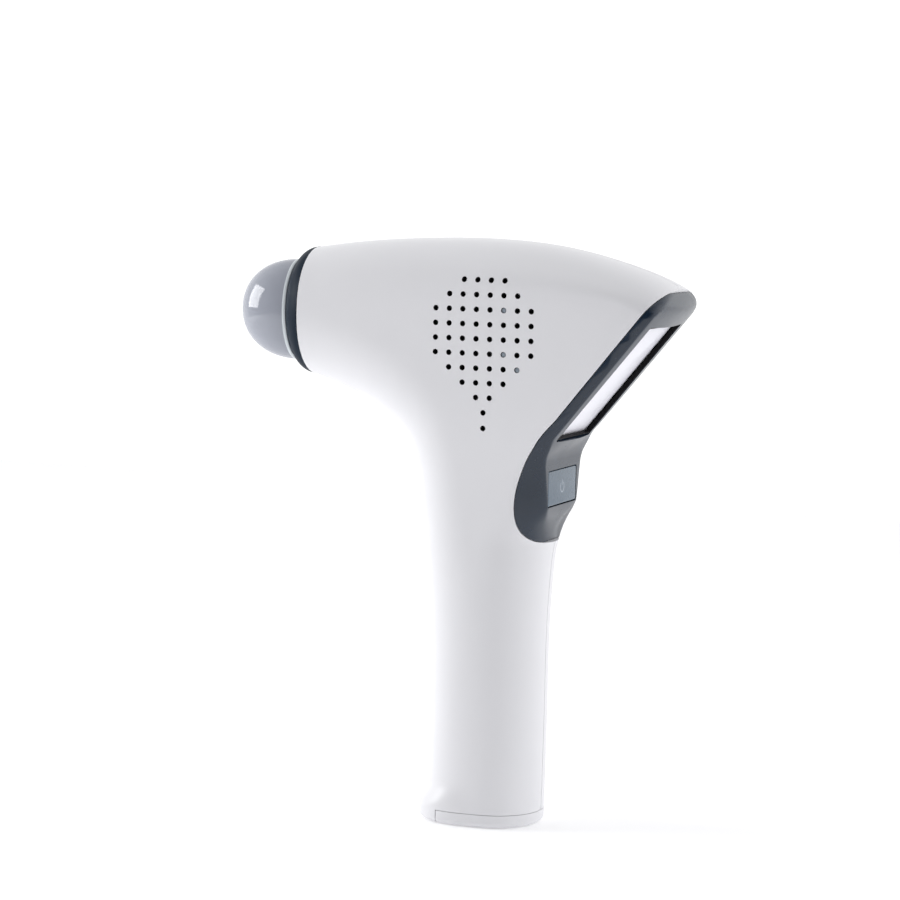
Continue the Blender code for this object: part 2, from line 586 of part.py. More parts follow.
def make_power(mats):
    add_object("power_board", lambda bm: box(bm, (-9, 10.2, 15), (11, 11.8, 98)), mats["board"])
    can = [(18, 10.2), (18.8, 11.0), (66.5, 11.0), (67.5, 10.3), (68.3, 11.0), (69.2, 10.2)]
    add_object("storage_capacitor", lambda bm: loops_to_mesh(bm, [
        [(1 + a, -2.4 + b, z) for a, b in ellipse(r, r, 24)] for z, r in can]), mats["sleeve"])
    choke = [(84 + 3.4 * math.sin(t), 6.6 + 2.6 * math.cos(t)) for t in np.linspace(0, 2 * math.pi, 9)[:-1]]
    add_object("filter_choke", lambda bm: loops_to_mesh(bm, [
        [(0.5 + a, -0.5 + b, z) for a, b in ellipse(r, r, 20)] for z, r in choke], closed=True),
        mats["copper"])
    add_object("driver_board", lambda bm: box(bm, (-15, 12.6, 146), (22, 14.2, 178)), mats["board"])
    core = add_object("transformer_core", lambda bm: box(
        bm, (-6, 2.2, 149), (12, 12.2, 165)), mats["ferrite"])
    boolean(core, add_object("core_windows", lambda bm: [
        box(bm, (-3.4, -3, 151.6), (0.4, 20, 162.4)), box(bm, (5.6, -3, 151.6), (9.4, 20, 162.4))]))
    winding = add_object("transformer_winding", lambda bm: box(
        bm, (-3.0, -0.6, 152.1), (9.0, 12.3, 161.9)), mats["copper"])
    boolean(winding, add_object("winding_hole", lambda bm: box(bm, (0.0, 1.8, 140), (6.0, 20, 175))))
    add_object("power_switch", lambda bm: box(bm, (14, 8.4, 150), (20, 12.3, 166)), mats["black"])
    add_object("status_buzzer", lambda bm: prism(
        bm, ellipse(4.5, 4.5, 16, (6, 172.5)), 7.8, 12.3, "Y"), mats["black"])
    jack = add_object("power_jack", lambda bm: box(bm, (JACK[0] - 5.5, -5, 5.2), (JACK[0] + 5.5, 5, 14.5)),
                      mats["black"])
    boolean(jack, add_object("jack_snout", lambda bm: prism(
        bm, ellipse(4.2, 4.2, 20, JACK), 0.6, 6.0, "Z")), "UNION")
    boolean(jack, add_object("jack_bore", lambda bm: prism(bm, ellipse(3.3, 3.3, 16, JACK), -2, 11.5, "Z")))
    add_object("jack_pin", lambda bm: prism(bm, ellipse(1.0, 1.0, 12, JACK), 5.5, 11.2, "Z"), mats["steel"])
    lead("lamp_lead_red", [
        (-32, 3.5, 158.7), (-31.5, 3.6, 154), (-26, 4.4, 147), (-18, 4.5, 139), (-13, 4, 128),
        (-8, 5, 116), (-3, 6.6, 104), (-2, 8.9, 96)], 0.9, mats["red"])
    lead("lamp_lead_black", [
        (-32, -3.5, 158.7), (-31.5, -3.4, 154), (-25, -2.5, 146), (-17, -1.5, 137), (-13, -1.5, 127),
        (-7, 1, 116), (1, 5, 104), (3, 8.9, 96)], 0.9, mats["black"])
    lead("display_lead", [
        (24, -4, 146), (20, -5, 138), (12, -4, 124), (8, 0, 112), (7, 6, 101), (7, 8.9, 95)],
        1.1, mats["sleeve"])


def main():
    clear_scene()
    mats = {
        "white": material("white_gloss", (0.80, 0.80, 0.83), 0.22),
        "slate": material("slate_satin", (0.085, 0.105, 0.13), 0.38),
        "black": material("black_plastic", (0.02, 0.02, 0.022), 0.5),
        "smoke": material("smoke_clear", (0.30, 0.32, 0.36), 0.05, alpha=0.55),
        "amber": material("filter_amber", (0.75, 0.28, 0.08), 0.03, alpha=0.6),
        "glass": material("lamp_glass", (0.85, 0.9, 0.95), 0.02, alpha=0.4),
        "screen": material("screen_window", (0.55, 0.56, 0.60), 0.05),
        "lcd": material("lcd_grey", (0.35, 0.38, 0.36), 0.25),
        "rubber": material("gasket_rubber", (0.008, 0.008, 0.009), 0.7),
        "board": material("board_green", (0.02, 0.16, 0.06), 0.45),
        "steel": material("plated_steel", (0.62, 0.62, 0.60), 0.3, 1.0),
        "mirror": material("bright_aluminium", (0.88, 0.89, 0.90), 0.08, 1.0),
        "aluminium": material("cast_aluminium", (0.55, 0.56, 0.58), 0.4, 1.0),
        "brass": material("contact_brass", (0.78, 0.58, 0.25), 0.25, 1.0),
        "copper": material("copper_winding", (0.72, 0.33, 0.14), 0.35, 1.0),
        "ferrite": material("ferrite", (0.05, 0.05, 0.055), 0.6),
        "sleeve": material("capacitor_sleeve", (0.03, 0.05, 0.16), 0.35),
        "red": material("red_insulation", (0.55, 0.02, 0.02), 0.45),
    }
    body_solid("body_core", WALL / 2)
    region_cutter("region_behind_seam", seam_profile())
    for side in (-1, 1):
        make_housing(side, mats)
    make_screws(mats)
    make_bezel(mats)
    make_base(mats)
    make_nose(mats)
    make_cooling(mats)
    make_display(mats)
    make_power(mats)


main()
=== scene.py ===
"""Looks of the hair remover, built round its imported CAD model. Lengths are in millimetres until MM scales
them, but for the camera's and the lights', which are in metres."""

import math

import bmesh
import bpy
import numpy as np
from mathutils import Matrix, Vector
from mathutils.bvhtree import BVHTree


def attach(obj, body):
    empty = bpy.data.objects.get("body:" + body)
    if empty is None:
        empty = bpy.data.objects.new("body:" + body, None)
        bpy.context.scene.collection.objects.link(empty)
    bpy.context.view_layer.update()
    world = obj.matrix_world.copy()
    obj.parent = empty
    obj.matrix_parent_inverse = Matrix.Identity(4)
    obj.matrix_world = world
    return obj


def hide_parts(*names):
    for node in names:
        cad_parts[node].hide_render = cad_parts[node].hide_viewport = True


MM = 0.001
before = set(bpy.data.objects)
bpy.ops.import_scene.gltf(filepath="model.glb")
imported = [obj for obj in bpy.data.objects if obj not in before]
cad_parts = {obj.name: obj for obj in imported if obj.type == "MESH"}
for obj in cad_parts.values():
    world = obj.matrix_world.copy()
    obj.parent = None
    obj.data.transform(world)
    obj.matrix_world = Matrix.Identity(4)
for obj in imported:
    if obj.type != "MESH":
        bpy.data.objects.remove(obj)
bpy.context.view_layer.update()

# ---- the body's shape, as in the CAD ------------------------------------------------------------------
GAP, WALL, BODY_POWER = 0.3, 2.6, 2.1
ROUND_SHARE = 0.97  # most of an outline's length that its two rounded ends may take
ROW_BLUR = 0.45  # how far the sections' rows run into each other, in sections
NOSE_Z, NOSE_RZ, NOSE_RY, NOSE_X = 172.0, 22.1, 19.0, -65.9
FACE_TILT = math.radians(50.9)
FACE_LOW, FACE_LENGTH, FACE_CROWN = (28.9, 132.1), 59.1, 190.0  # its near end, and its crown's radius
BAND = 4.5  # depth of the dark band behind the display face
FACE_DIR = Vector((math.cos(FACE_TILT), 0, math.sin(FACE_TILT)))
FACE_OUT = Vector((math.sin(FACE_TILT), 0, -math.cos(FACE_TILT)))
# Rounding of the face's far end: (further along the face, behind it).
TIP = [(8.0, 9.5), (3.2, 5.0), (2.0, 3.2), (0.4, 1.5), (-1.8, 0.4), (-4.5, 0.0)]
KEY_X, KEY_Z, KEY_HALF_WIDTH = 25.1, (110.3, 122.0), 13.7
# The rear outline below the display face, as (x, z): the bend, the key's upright wall and the chin.
UNDER_FACE = [(26.6, 129.2), (25.5, 126.6)]
KEY_WALL = (124.3, 117.0, 110.0)
CHIN = [(24.1, 107.4), (22.7, 104.2), (21.9, 100.6), (21.9, 95.0)]
SEAM = [(24.5, 134.6), (21.3, 129.8), (18.3, 124.3), (15.4, 115.8), (14.7, 108.0), (16.0, 101.9),
        (19.2, 98.4), (23.0, 97.3), (27.0, 97.1)]
SEAM_ENDS = (14, 7.0)  # past the display face's far end, and on from its near end
WINDOW, FACE_PLATE = (33.6, 50.2), 1.7
BASE_HEIGHT, BASE_SPLIT_X = 4.3, -11.6
FOOT_ROUND, FOOT_HALF, FOOT_STEPS = 2.0, (20, 17.7), 6
# The front of the handle widens below a ridge that climbs towards the back.
FLARE_RIDGE, FLARE_SLOPE, FLARE_BLEND, FLARE_TOP = 7.0, 0.28, 8, 30
FLARE_OUT, FLARE_BACK, FLARE_RUN = 3.2, 2.0, 20
VENT_PITCH, VENT_R, VENT_ORIGIN = 4.88, 0.95, (-13.6, 185.2)
VENT_ROWS = [(2, 6), (1, 7), (0, 8), (0, 8), (0, 8), (0, 8), (1, 7), (2, 6), (3, 5)]
TAIL_COLUMN, TAIL_DROP, TAIL_STEP = 3.55, 0.1, 1.07  # the two single holes below the rows
SCREWS = [(-24.0, 189.0), (49.0, 179.5), (-37.0, 146.0), (-14.8, 84.0), (15.2, 84.0)]
JACK = (9.0, 0.0)
# Rows of front point, back point, half widths and lengths of the rounded ends; points are (x, z).
SECTIONS = [
    ((NOSE_X, NOSE_Z - NOSE_RZ), (NOSE_X, NOSE_Z + NOSE_RZ), NOSE_RY, NOSE_RY, NOSE_RZ, NOSE_RZ),
    ((-57.5, 147.4), (-50.0, 196.4), 19.6, 19.6, 22.5, 22.5),
    ((-46.0, 142.9), (-29.0, 198.1), 20.3, 20.5, 23.0, 23.0),
    ((-38.5, 138.1), (-5.0, 198.8), 20.5, 21.4, 23.0, 23.0),
    ((-33.3, 133.8), (22.0, 197.4), 20.2, 22.4, 22.5, 22.0),
    ((-30.6, 130.8), (50.0, 190.5), 20.0, 22.9, 22.0, 15.5),
    ((-29.2, 128.2), (74.0, 179.6), 19.7, 22.9, 21.5, 11.0),
    ((-28.2, 125.6), (70.0, 158.0), 19.3, 23.0, 21.0, 14.0),
    ((-26.8, 121.0), (42.0, 138.5), 18.8, 21.2, 20.5, 16.0),
    ((-25.8, 117.0), (35.0, 123.0), 18.5, 19.4, 20.3, 20.0),
    ((-24.7, 110.5), (33.0, 110.5), 18.2, 18.9, 20.2, 20.0),
    ((-23.8, 104.0), (27.4, 104.0), 18.0, 18.4, 20.2, 20.0),
    ((-23.1, 98.5), (23.3, 98.3), 17.8, 18.0, 20.2, 20.0),
    ((-22.4, 92.0), (22.2, 92.0), 17.6, 17.8, 20.2, 20.0),
    ((-21.0, 80.0), (21.3, 80.0), 17.5, 17.5, 21.0, 21.0),
    ((-19.9, 64.0), (20.7, 64.0), 17.3, 17.3, 21.0, 21.0),
    ((-19.2, 42.0), (20.8, 42.0), 17.2, 17.2, 21.0, 21.0),
    ((-19.3, 24.0), (20.7, 24.0), 17.4, 17.4, 21.0, 21.0),
    ((-19.5, 14.0), (20.6, 14.0), 17.5, 17.5, 21.0, 21.0),
    ((-19.7, 7.0), (20.5, 7.0), 17.6, 17.6, 21.0, 21.0),
    ((-19.8, 0.0), (20.4, 0.0), 17.7, 17.7, 21.0, 21.0),
]


def smoothstep(t):
    t = min(1.0, max(0.0, t))
    return t * t * (3 - 2 * t)


def catmull(rows, steps):
    """Rows of numbers joined by a smooth curve."""
    rows = [np.array(row, float) for row in rows]
    ends = [2 * rows[0] - rows[1]] + rows + [2 * rows[-1] - rows[-2]]
    made = []
    for i in range(len(rows) - 1):
        a, b, c, d = ends[i : i + 4]
        for k in range(steps):
            t = k / steps
            made.append(0.5 * (2 * b + (c - a) * t + (2 * a - 5 * b + 4 * c - d) * t * t
                               + (3 * b - a - 3 * c + d) * t ** 3))
    return made + [rows[-1]]


def section_loop(front, back, widths, rounds, steps, middle, inset=0.0):
    """The body's closed outline in the slanted plane through a front and a back point."""
    front, back = np.array(front), np.array(back)
    length = np.linalg.norm(back - front)
    along = (back - front) / length
    share = min(1.0, ROUND_SHARE * length / sum(rounds))
    near, far = rounds[0] * share, rounds[1] * share
    places = [near * (1 - math.cos(math.pi / 2 * k / steps)) for k in range(steps)]
    places += [near + (length - near - far) * k / middle for k in range(middle)]
    places += [length - far * (1 - math.cos(math.pi / 2 * k / steps)) for k in range(steps, -1, -1)]
    half = []
    for place in places:
        width = widths[0] + (widths[1] - widths[0]) * smoothstep(place / length)
        end, reach = (place, near) if place < near else (length - place, far)
        drop = max(0.0, 1 - end / reach)
        lateral = (width - inset) * max(0.0, 1 - drop ** BODY_POWER) ** (1 / BODY_POWER)
        x, z = front + along * (place + inset * (1 - 2 * place / length))
        half.append((x, -lateral, z))
    half[0] = (half[0][0], 0.0, half[0][2])
    half[-1] = (half[-1][0], 0.0, half[-1][2])
    return half + [(x, -y, z) for x, y, z in reversed(half[1:-1])]


def flare(point):
    """Moves a point out where the front of the handle widens into the foot."""
    x, y, z = point
    ridge = FLARE_RIDGE + FLARE_SLOPE * (x + FLARE_RUN)
    rise = smoothstep((ridge + FLARE_BLEND / 2 - z) / FLARE_BLEND)
    amount = FLARE_OUT * rise * smoothstep((FLARE_BACK - x) / FLARE_RUN)
    if z > FLARE_TOP or amount <= 0:
        return point
    out = Vector((x, y, 0)).normalized()
    return (x + out.x * amount, y + out.y * amount, z)


def foot_loops(foot):
    """Outlines that round the lower rim of the foot."""
    made = []
    for k in range(FOOT_STEPS + 1):
        angle = math.pi / 2 * k / FOOT_STEPS
        drawn = FOOT_ROUND * (1 - math.cos(angle))
        height = FOOT_ROUND * (1 - math.sin(angle))
        along, across = 1 - drawn / FOOT_HALF[0], 1 - drawn / FOOT_HALF[1]
        made.append([(x * along, y * across, height) for x, y, _ in foot])
    return made


def body_loops(inset=0.0, sub=8, steps=12, middle=10, below=0.0, ahead=0.0):
    """The body's outlines from the nose to the foot, set in by inset and run on past its ends where asked."""
    rows = np.array(catmull([(*a, *b, *rest) for a, b, *rest in SECTIONS], sub))
    weights = np.exp(-0.5 * (np.arange(-sub, sub + 1) / (sub * ROW_BLUR)) ** 2)
    weights /= weights.sum()
    padded = np.concatenate([2 * rows[:1] - rows[sub:0:-1], rows, 2 * rows[-1:] - rows[-2 : -sub - 2 : -1]])
    smooth = np.stack([np.convolve(padded[:, i], weights, "valid") for i in range(rows.shape[1])], 1)
    loops = [[flare(p) for p in section_loop(row[:2], row[2:4], row[4:6], row[6:], steps, middle, inset)]
             for row in smooth]
    if ahead:
        loops.insert(0, [(x - ahead, y, z) for x, y, z in loops[0]])
    if below:
        return loops + [[(x, y, z - below) for x, y, z in loops[-1]]]
    foot = loops.pop()
    return [loop for loop in loops if loop[0][2] > FOOT_ROUND + GAP] + foot_loops(foot)


def face_point(s, depth=0.0):
    """(x, z) of a place s up the display face and a depth behind it."""
    p = Vector((FACE_LOW[0], 0, FACE_LOW[1])) + FACE_DIR * s - FACE_OUT * depth
    return p.x, p.z


def face_profile(depth=0.0, y=0.0):
    """The rear outline from the tip to under the chin, a depth behind the surface and y from its middle."""
    def sunk(places):
        return [(x - depth, z) for x, z in places]

    crown = depth + y * y / (2 * FACE_CROWN)
    wall = sunk((KEY_X, z) for z in KEY_WALL)
    tip = catmull([face_point(FACE_LENGTH + along, crown + behind) for along, behind in TIP], 3)
    bend = catmull([face_point(4, crown), face_point(0.3, crown), *sunk(UNDER_FACE), wall[0]], 5)
    chin = catmull([wall[2], *sunk(CHIN)], 4)
    return [tuple(p) for p in [*tip, *bend, wall[1], *chin]]


def seam_profile(shift=0.0):
    """The outline between the white housing and the dark band, moved by shift across its run."""
    tip = face_point(FACE_LENGTH + SEAM_ENDS[0], BAND)
    low = [tuple(place) for place in catmull([face_point(SEAM_ENDS[1], BAND), *SEAM], 6)]
    line = [tip, *low]
    moved = [(tip[0] + shift * 0.8, tip[1] - shift * 0.5)]
    for i, (x, z) in enumerate(low):
        before, after = line[i], low[min(i + 1, len(low) - 1)]
        run = Vector((after[0] - before[0], after[1] - before[1])).normalized()
        moved.append((x - run.y * shift, z + run.x * shift))
    return moved


def vents():
    """(x, z) of the vent holes: a field of rows and two single holes under it."""
    made = [(VENT_ORIGIN[0] + column * VENT_PITCH, VENT_ORIGIN[1] - row * VENT_PITCH)
            for row, (first, end) in enumerate(VENT_ROWS) for column in range(first, end)]
    middle = VENT_ORIGIN[0] + TAIL_COLUMN * VENT_PITCH
    tail = VENT_ORIGIN[1] - len(VENT_ROWS) * VENT_PITCH
    return made + [(middle, tail - TAIL_DROP), (middle, tail - TAIL_DROP - TAIL_STEP * VENT_PITCH)]


# ---- mesh tools ---------------------------------------------------------------------------------------
SHARP = math.radians(35)
EDGE_STEPS, LEAST_CORNER = 4, 0.05


def claim(made, body, nodes=()):
    """Says which body a piece rides on and which CAD nodes it stands for."""
    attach(made, body)
    if nodes:
        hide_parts(*nodes)


def add(name, builder, mat=None, body=None, nodes=(), slot=None, sharp=35):
    """A piece drawn by a function of a bmesh, in millimetres."""
    bm = bmesh.new()
    builder(bm)
    bmesh.ops.scale(bm, vec=(MM,) * 3, verts=bm.verts)
    bmesh.ops.recalc_face_normals(bm, faces=bm.faces)
    mesh = bpy.data.meshes.new(name)
    bm.to_mesh(mesh)
    bm.free()
    mesh.shade_smooth()
    if sharp:
        mesh.set_sharp_from_angle(angle=math.radians(sharp))
    made = bpy.data.objects.new(name, mesh)
    bpy.context.scene.collection.objects.link(made)
    if mat:
        mesh.materials.append(mat)
    if body:
        claim(made, body, nodes)
    return made


def loops_to_mesh(bm, loops, closed=False, caps=True):
    """Joins outlines of equal length, with a face on each end or, where closed, back to the first."""
    rings = [[bm.verts.new(p) for p in loop] for loop in loops]
    pairs = list(zip(rings, rings[1:])) + ([(rings[-1], rings[0])] if closed else [])
    for a, b in pairs:
        for i in range(len(a)):
            j = (i + 1) % len(a)
            bm.faces.new((a[i], a[j], b[j], b[i]))
    if not closed and caps:
        bm.faces.new(rings[0])
        bm.faces.new(rings[-1])


def lay(axis, a, b, d):
    """The point at (a, b) across an axis and d along it."""
    return {"X": (d, a, b), "Y": (a, d, b), "Z": (a, b, d)}[axis]


def prism(bm, outline, low, high, axis="Y"):
    """A straight piece of constant outline along an axis."""
    loops_to_mesh(bm, [[lay(axis, *p, d) for p in outline] for d in (low, high)])


def ellipse(ra, rb, steps, centre=(0, 0)):
    return [(centre[0] + ra * math.cos(2 * math.pi * k / steps),
             centre[1] + rb * math.sin(2 * math.pi * k / steps)) for k in range(steps)]


def box(bm, low, high):
    """A box between two corners."""
    outline = [(low[0], low[1]), (high[0], low[1]), (high[0], high[1]), (low[0], high[1])]
    prism(bm, outline, low[2], high[2], "Z")


def rounded(half_a, half_b, radius, steps=6, centre=(0, 0)):
    """Outline of a rectangle with round corners."""
    made = []
    for turn, (sa, sb) in enumerate([(1, 1), (-1, 1), (-1, -1), (1, -1)]):
        for k in range(steps + 1):
            angle = math.pi / 2 * (turn + k / steps)
            made.append((centre[0] + sa * (half_a - radius) + radius * math.cos(angle),
                         centre[1] + sb * (half_b - radius) + radius * math.sin(angle)))
    return made


def soft_plate(bm, half_a, half_b, corner, low, high, edge, axis="Z", centre=(0, 0)):
    """A rectangular plate with round corners and rounded rims on both faces."""
    loops = []
    turns = [(k, low, 1) for k in range(EDGE_STEPS, -1, -1)] + [(k, high, -1) for k in range(EDGE_STEPS + 1)]
    for k, face, way in turns:
        angle = math.pi / 2 * k / EDGE_STEPS
        drawn = edge * (1 - math.cos(angle))
        depth = face + way * edge * (1 - math.sin(angle))
        radius = max(LEAST_CORNER, corner - drawn)
        outline = rounded(half_a - drawn, half_b - drawn, radius, centre=centre)
        loops.append([lay(axis, *p, depth) for p in outline])
    loops_to_mesh(bm, loops)


def turned(bm, place, profile, steps=32, axis="Y"):
    """A turned piece along an axis through a place, from (distance, radius)."""
    loops_to_mesh(bm, [[lay(axis, *p, d) for p in ellipse(r, r, steps, place)] for d, r in profile])


def cut(target, cutters, operation="DIFFERENCE"):
    """Applies Booleans in turn and removes their operands."""
    for other in cutters:
        step = target.modifiers.new("cut", "BOOLEAN")
        step.operation, step.object, step.solver = operation, other, "EXACT"
        graph = bpy.context.evaluated_depsgraph_get()
        mesh = bpy.data.meshes.new_from_object(target.evaluated_get(graph))
        target.modifiers.clear()
        old = target.data
        target.data = mesh
        bpy.data.meshes.remove(old)
        bpy.data.objects.remove(other)
    return target


def tree_of(loops, closed=True):
    """(search tree, smooth normals per face corner) of a lofted surface, in metres."""
    bm = bmesh.new()
    if closed:
        loops_to_mesh(bm, loops, caps=False)
    else:
        rings = [[bm.verts.new(p) for p in loop] for loop in loops]
        for a, b in zip(rings, rings[1:]):
            for i in range(len(a) - 1):
                bm.faces.new((a[i], a[i + 1], b[i + 1], b[i]))
    bmesh.ops.scale(bm, vec=(MM,) * 3, verts=bm.verts)
    bmesh.ops.recalc_face_normals(bm, faces=bm.faces)
    bm.normal_update()
    outward = {v: v.normal.copy() for v in bm.verts}
    bmesh.ops.triangulate(bm, faces=bm.faces)
    tree = BVHTree.FromBMesh(bm)
    corners = [([v.co.copy() for v in f.verts], [outward[v] for v in f.verts]) for f in bm.faces]
    bm.free()
    return tree, corners


def barycentric(p, a, b, c):
    """The weights of a triangle's corners at a point in it."""
    v0, v1, v2 = b - a, c - a, p - a
    d00, d01, d11, d20, d21 = v0.dot(v0), v0.dot(v1), v1.dot(v1), v2.dot(v0), v2.dot(v1)
    low = d00 * d11 - d01 * d01
    if abs(low) < 1e-24:
        return 1.0, 0.0, 0.0
    v, w = (d11 * d20 - d01 * d21) / low, (d00 * d21 - d01 * d20) / low
    return 1 - v - w, v, w


def normal_at(surface, spot):
    """A surface's smooth normal nearest to a place, and how far off it is."""
    tree, corners = surface
    found, _, face, distance = tree.find_nearest(spot)
    points, ns = corners[face]
    parts = [n * max(w, 0) for n, w in zip(ns, barycentric(found, *points))]
    return sum(parts, Vector()).normalized(), distance


def smooth_like(obj, *surfaces, near=0.02 * MM, agree=0.9, soften=None):
    """Gives faces that lie on one of these smooth surfaces its normals, and leaves the others as they are.

    Within soften(place) of the other surface the two normals run together, as over a rounded edge.
    """
    mesh = obj.data
    mesh.shade_smooth()
    mesh.set_sharp_from_angle(angle=SHARP)
    made = [Vector(n.vector) for n in mesh.corner_normals]
    known = [{} for _ in surfaces]

    def blended(number, spot):
        own = normal_at(surfaces[number], spot)[0]
        if soften:
            other, gap = normal_at(surfaces[1 - number], spot)
            own = own.lerp(other, 0.5 * (1 - smoothstep(gap / soften(spot)))).normalized()
        return own

    for poly in mesh.polygons:
        for number, (tree, _) in enumerate(surfaces):
            _, normal, _, distance = tree.find_nearest(poly.center)
            if distance > near or normal.dot(poly.normal) < agree:
                continue
            for loop in poly.loop_indices:
                index = mesh.loops[loop].vertex_index
                if index not in known[number]:
                    known[number][index] = blended(number, mesh.vertices[index].co)
                made[loop] = known[number][index]
            break
    mesh.normals_split_custom_set([tuple(n) for n in made])


# ---- materials ----------------------------------------------------------------------------------------
def ramp(tree, factor, stops):
    """The colour between two stops, each (place, colour)."""
    made = tree.nodes.new("ShaderNodeValToRGB")
    tree.links.new(factor, made.inputs["Fac"])
    for element, (place, colour) in zip(list(made.color_ramp.elements), stops):
        element.position = place
        element.color = (*colour, 1)
    return made.outputs["Color"]


def spread(tree, value, low, high, start=0.3, end=0.7):
    """A value's range from start to end laid out from low to high."""
    made = tree.nodes.new("ShaderNodeMapRange")
    tree.links.new(value, made.inputs["Value"])
    for socket, number in (("From Min", start), ("From Max", end), ("To Min", low), ("To Max", high)):
        made.inputs[socket].default_value = number
    return made.outputs["Result"]


def noise(tree, scale, detail, stretch):
    """Noise over object space; scale counts its cells in a metre."""
    coords = tree.nodes.new("ShaderNodeTexCoord")
    turn = tree.nodes.new("ShaderNodeMapping")
    turn.inputs["Scale"].default_value = stretch
    made = tree.nodes.new("ShaderNodeTexNoise")
    made.inputs["Scale"].default_value = scale
    made.inputs["Detail"].default_value = detail
    tree.links.new(coords.outputs["Object"], turn.inputs["Vector"])
    tree.links.new(turn.outputs["Vector"], made.inputs["Vector"])
    return made.outputs["Fac"]


def edge_wear_and_highlight(tree, tint, colour, wear_and_highlight):
    """A paler colour where the surface is sharply convex: a painted highlight on the key, wear on the black
    plastic.
    """
    rim = tree.nodes.new("ShaderNodeNewGeometry")
    paled_edge = tree.nodes.new("ShaderNodeMix")
    paled_edge.data_type = "RGBA"
    tree.links.new(spread(tree, rim.outputs["Pointiness"], 0.0, wear_and_highlight, 0.52, 0.62), paled_edge.inputs["Factor"])
    tree.links.new(tint, paled_edge.inputs["A"])
    paled_edge.inputs["B"].default_value = (*[min(1.0, c * 1.6 + 0.05) for c in colour], 1)
    return paled_edge.outputs["Result"]


def finish_of(name, colour, rough, metal=0.0, vary=0.04, rough_vary=0.06, blotch=45, grain=2600,
              bump=0.06, depth=0.00002, stretch=(1, 1, 1), wear_and_highlight=0.0, **sockets):
    """A moulded, plated or cast surface: slow colour drift, uneven gloss and fine grain, with paler convex
    edges where asked, which are a painted highlight on the key and wear on the black plastic.
    """
    made = bpy.data.materials.new(name)
    made.use_nodes = True
    tree = made.node_tree
    shader = tree.nodes["Principled BSDF"]
    slow = noise(tree, blotch, 4.0, stretch)
    fine = noise(tree, grain, 2.0, stretch)
    low = tuple(c * (1 - vary) for c in colour)
    high = tuple(min(1.0, c * (1 + vary)) for c in colour)
    tint = ramp(tree, slow, [(0.3, low), (0.7, high)])
    if wear_and_highlight:
        tint = edge_wear_and_highlight(tree, tint, colour, wear_and_highlight)
    tree.links.new(tint, shader.inputs["Base Color"])
    gloss = noise(tree, blotch * 4, 5.0, stretch)
    tree.links.new(spread(tree, gloss, max(0.0, rough - rough_vary), rough + rough_vary),
                   shader.inputs["Roughness"])
    relief = tree.nodes.new("ShaderNodeBump")
    relief.inputs["Strength"].default_value = bump
    relief.inputs["Distance"].default_value = depth
    tree.links.new(fine, relief.inputs["Height"])
    tree.links.new(relief.outputs["Normal"], shader.inputs["Normal"])
    shader.inputs["Metallic"].default_value = metal
    for socket, value in sockets.items():
        shader.inputs[socket.replace("_", " ")].default_value = value
    return made


def brick_colour(made, scale, first, second, mortar, **sockets):
    """Colours a material with a brick pattern over object space."""
    tree = made.node_tree
    coords = tree.nodes.new("ShaderNodeTexCoord")
    bricks = tree.nodes.new("ShaderNodeTexBrick")
    bricks.inputs["Scale"].default_value = scale
    for socket, colour in (("Color1", first), ("Color2", second), ("Mortar", mortar)):
        bricks.inputs[socket].default_value = (*colour, 1)
    for socket, value in sockets.items():
        bricks.inputs[socket.replace("_", " ")].default_value = value
    tree.links.new(coords.outputs["Object"], bricks.inputs["Vector"])
    tree.links.new(bricks.outputs["Color"], tree.nodes["Principled BSDF"].inputs["Base Color"])
    return bricks


def board_finish():
    """Solder-masked laminate, its copper runs showing as paler lanes."""
    made = finish_of("board_laminate", (0.016, 0.13, 0.05), 0.35, vary=0.12, bump=0.1)
    brick_colour(made, 160, (0.012, 0.115, 0.042), (0.020, 0.150, 0.060), (0.035, 0.21, 0.09),
                 Mortar_Size=0.06)
    return made


def lcd_finish():
    """An unlit liquid-crystal panel: pale grey with the ghost of its cell grid."""
    made = finish_of("lcd_panel", (0.42, 0.44, 0.45), 0.22, vary=0.03, bump=0.02)
    grid = brick_colour(made, 1800, (0.43, 0.45, 0.46), (0.40, 0.42, 0.43), (0.34, 0.36, 0.37),
                        Brick_Width=1.0, Row_Height=1.0, Mortar_Size=0.05)
    grid.offset = 0.0
    return made


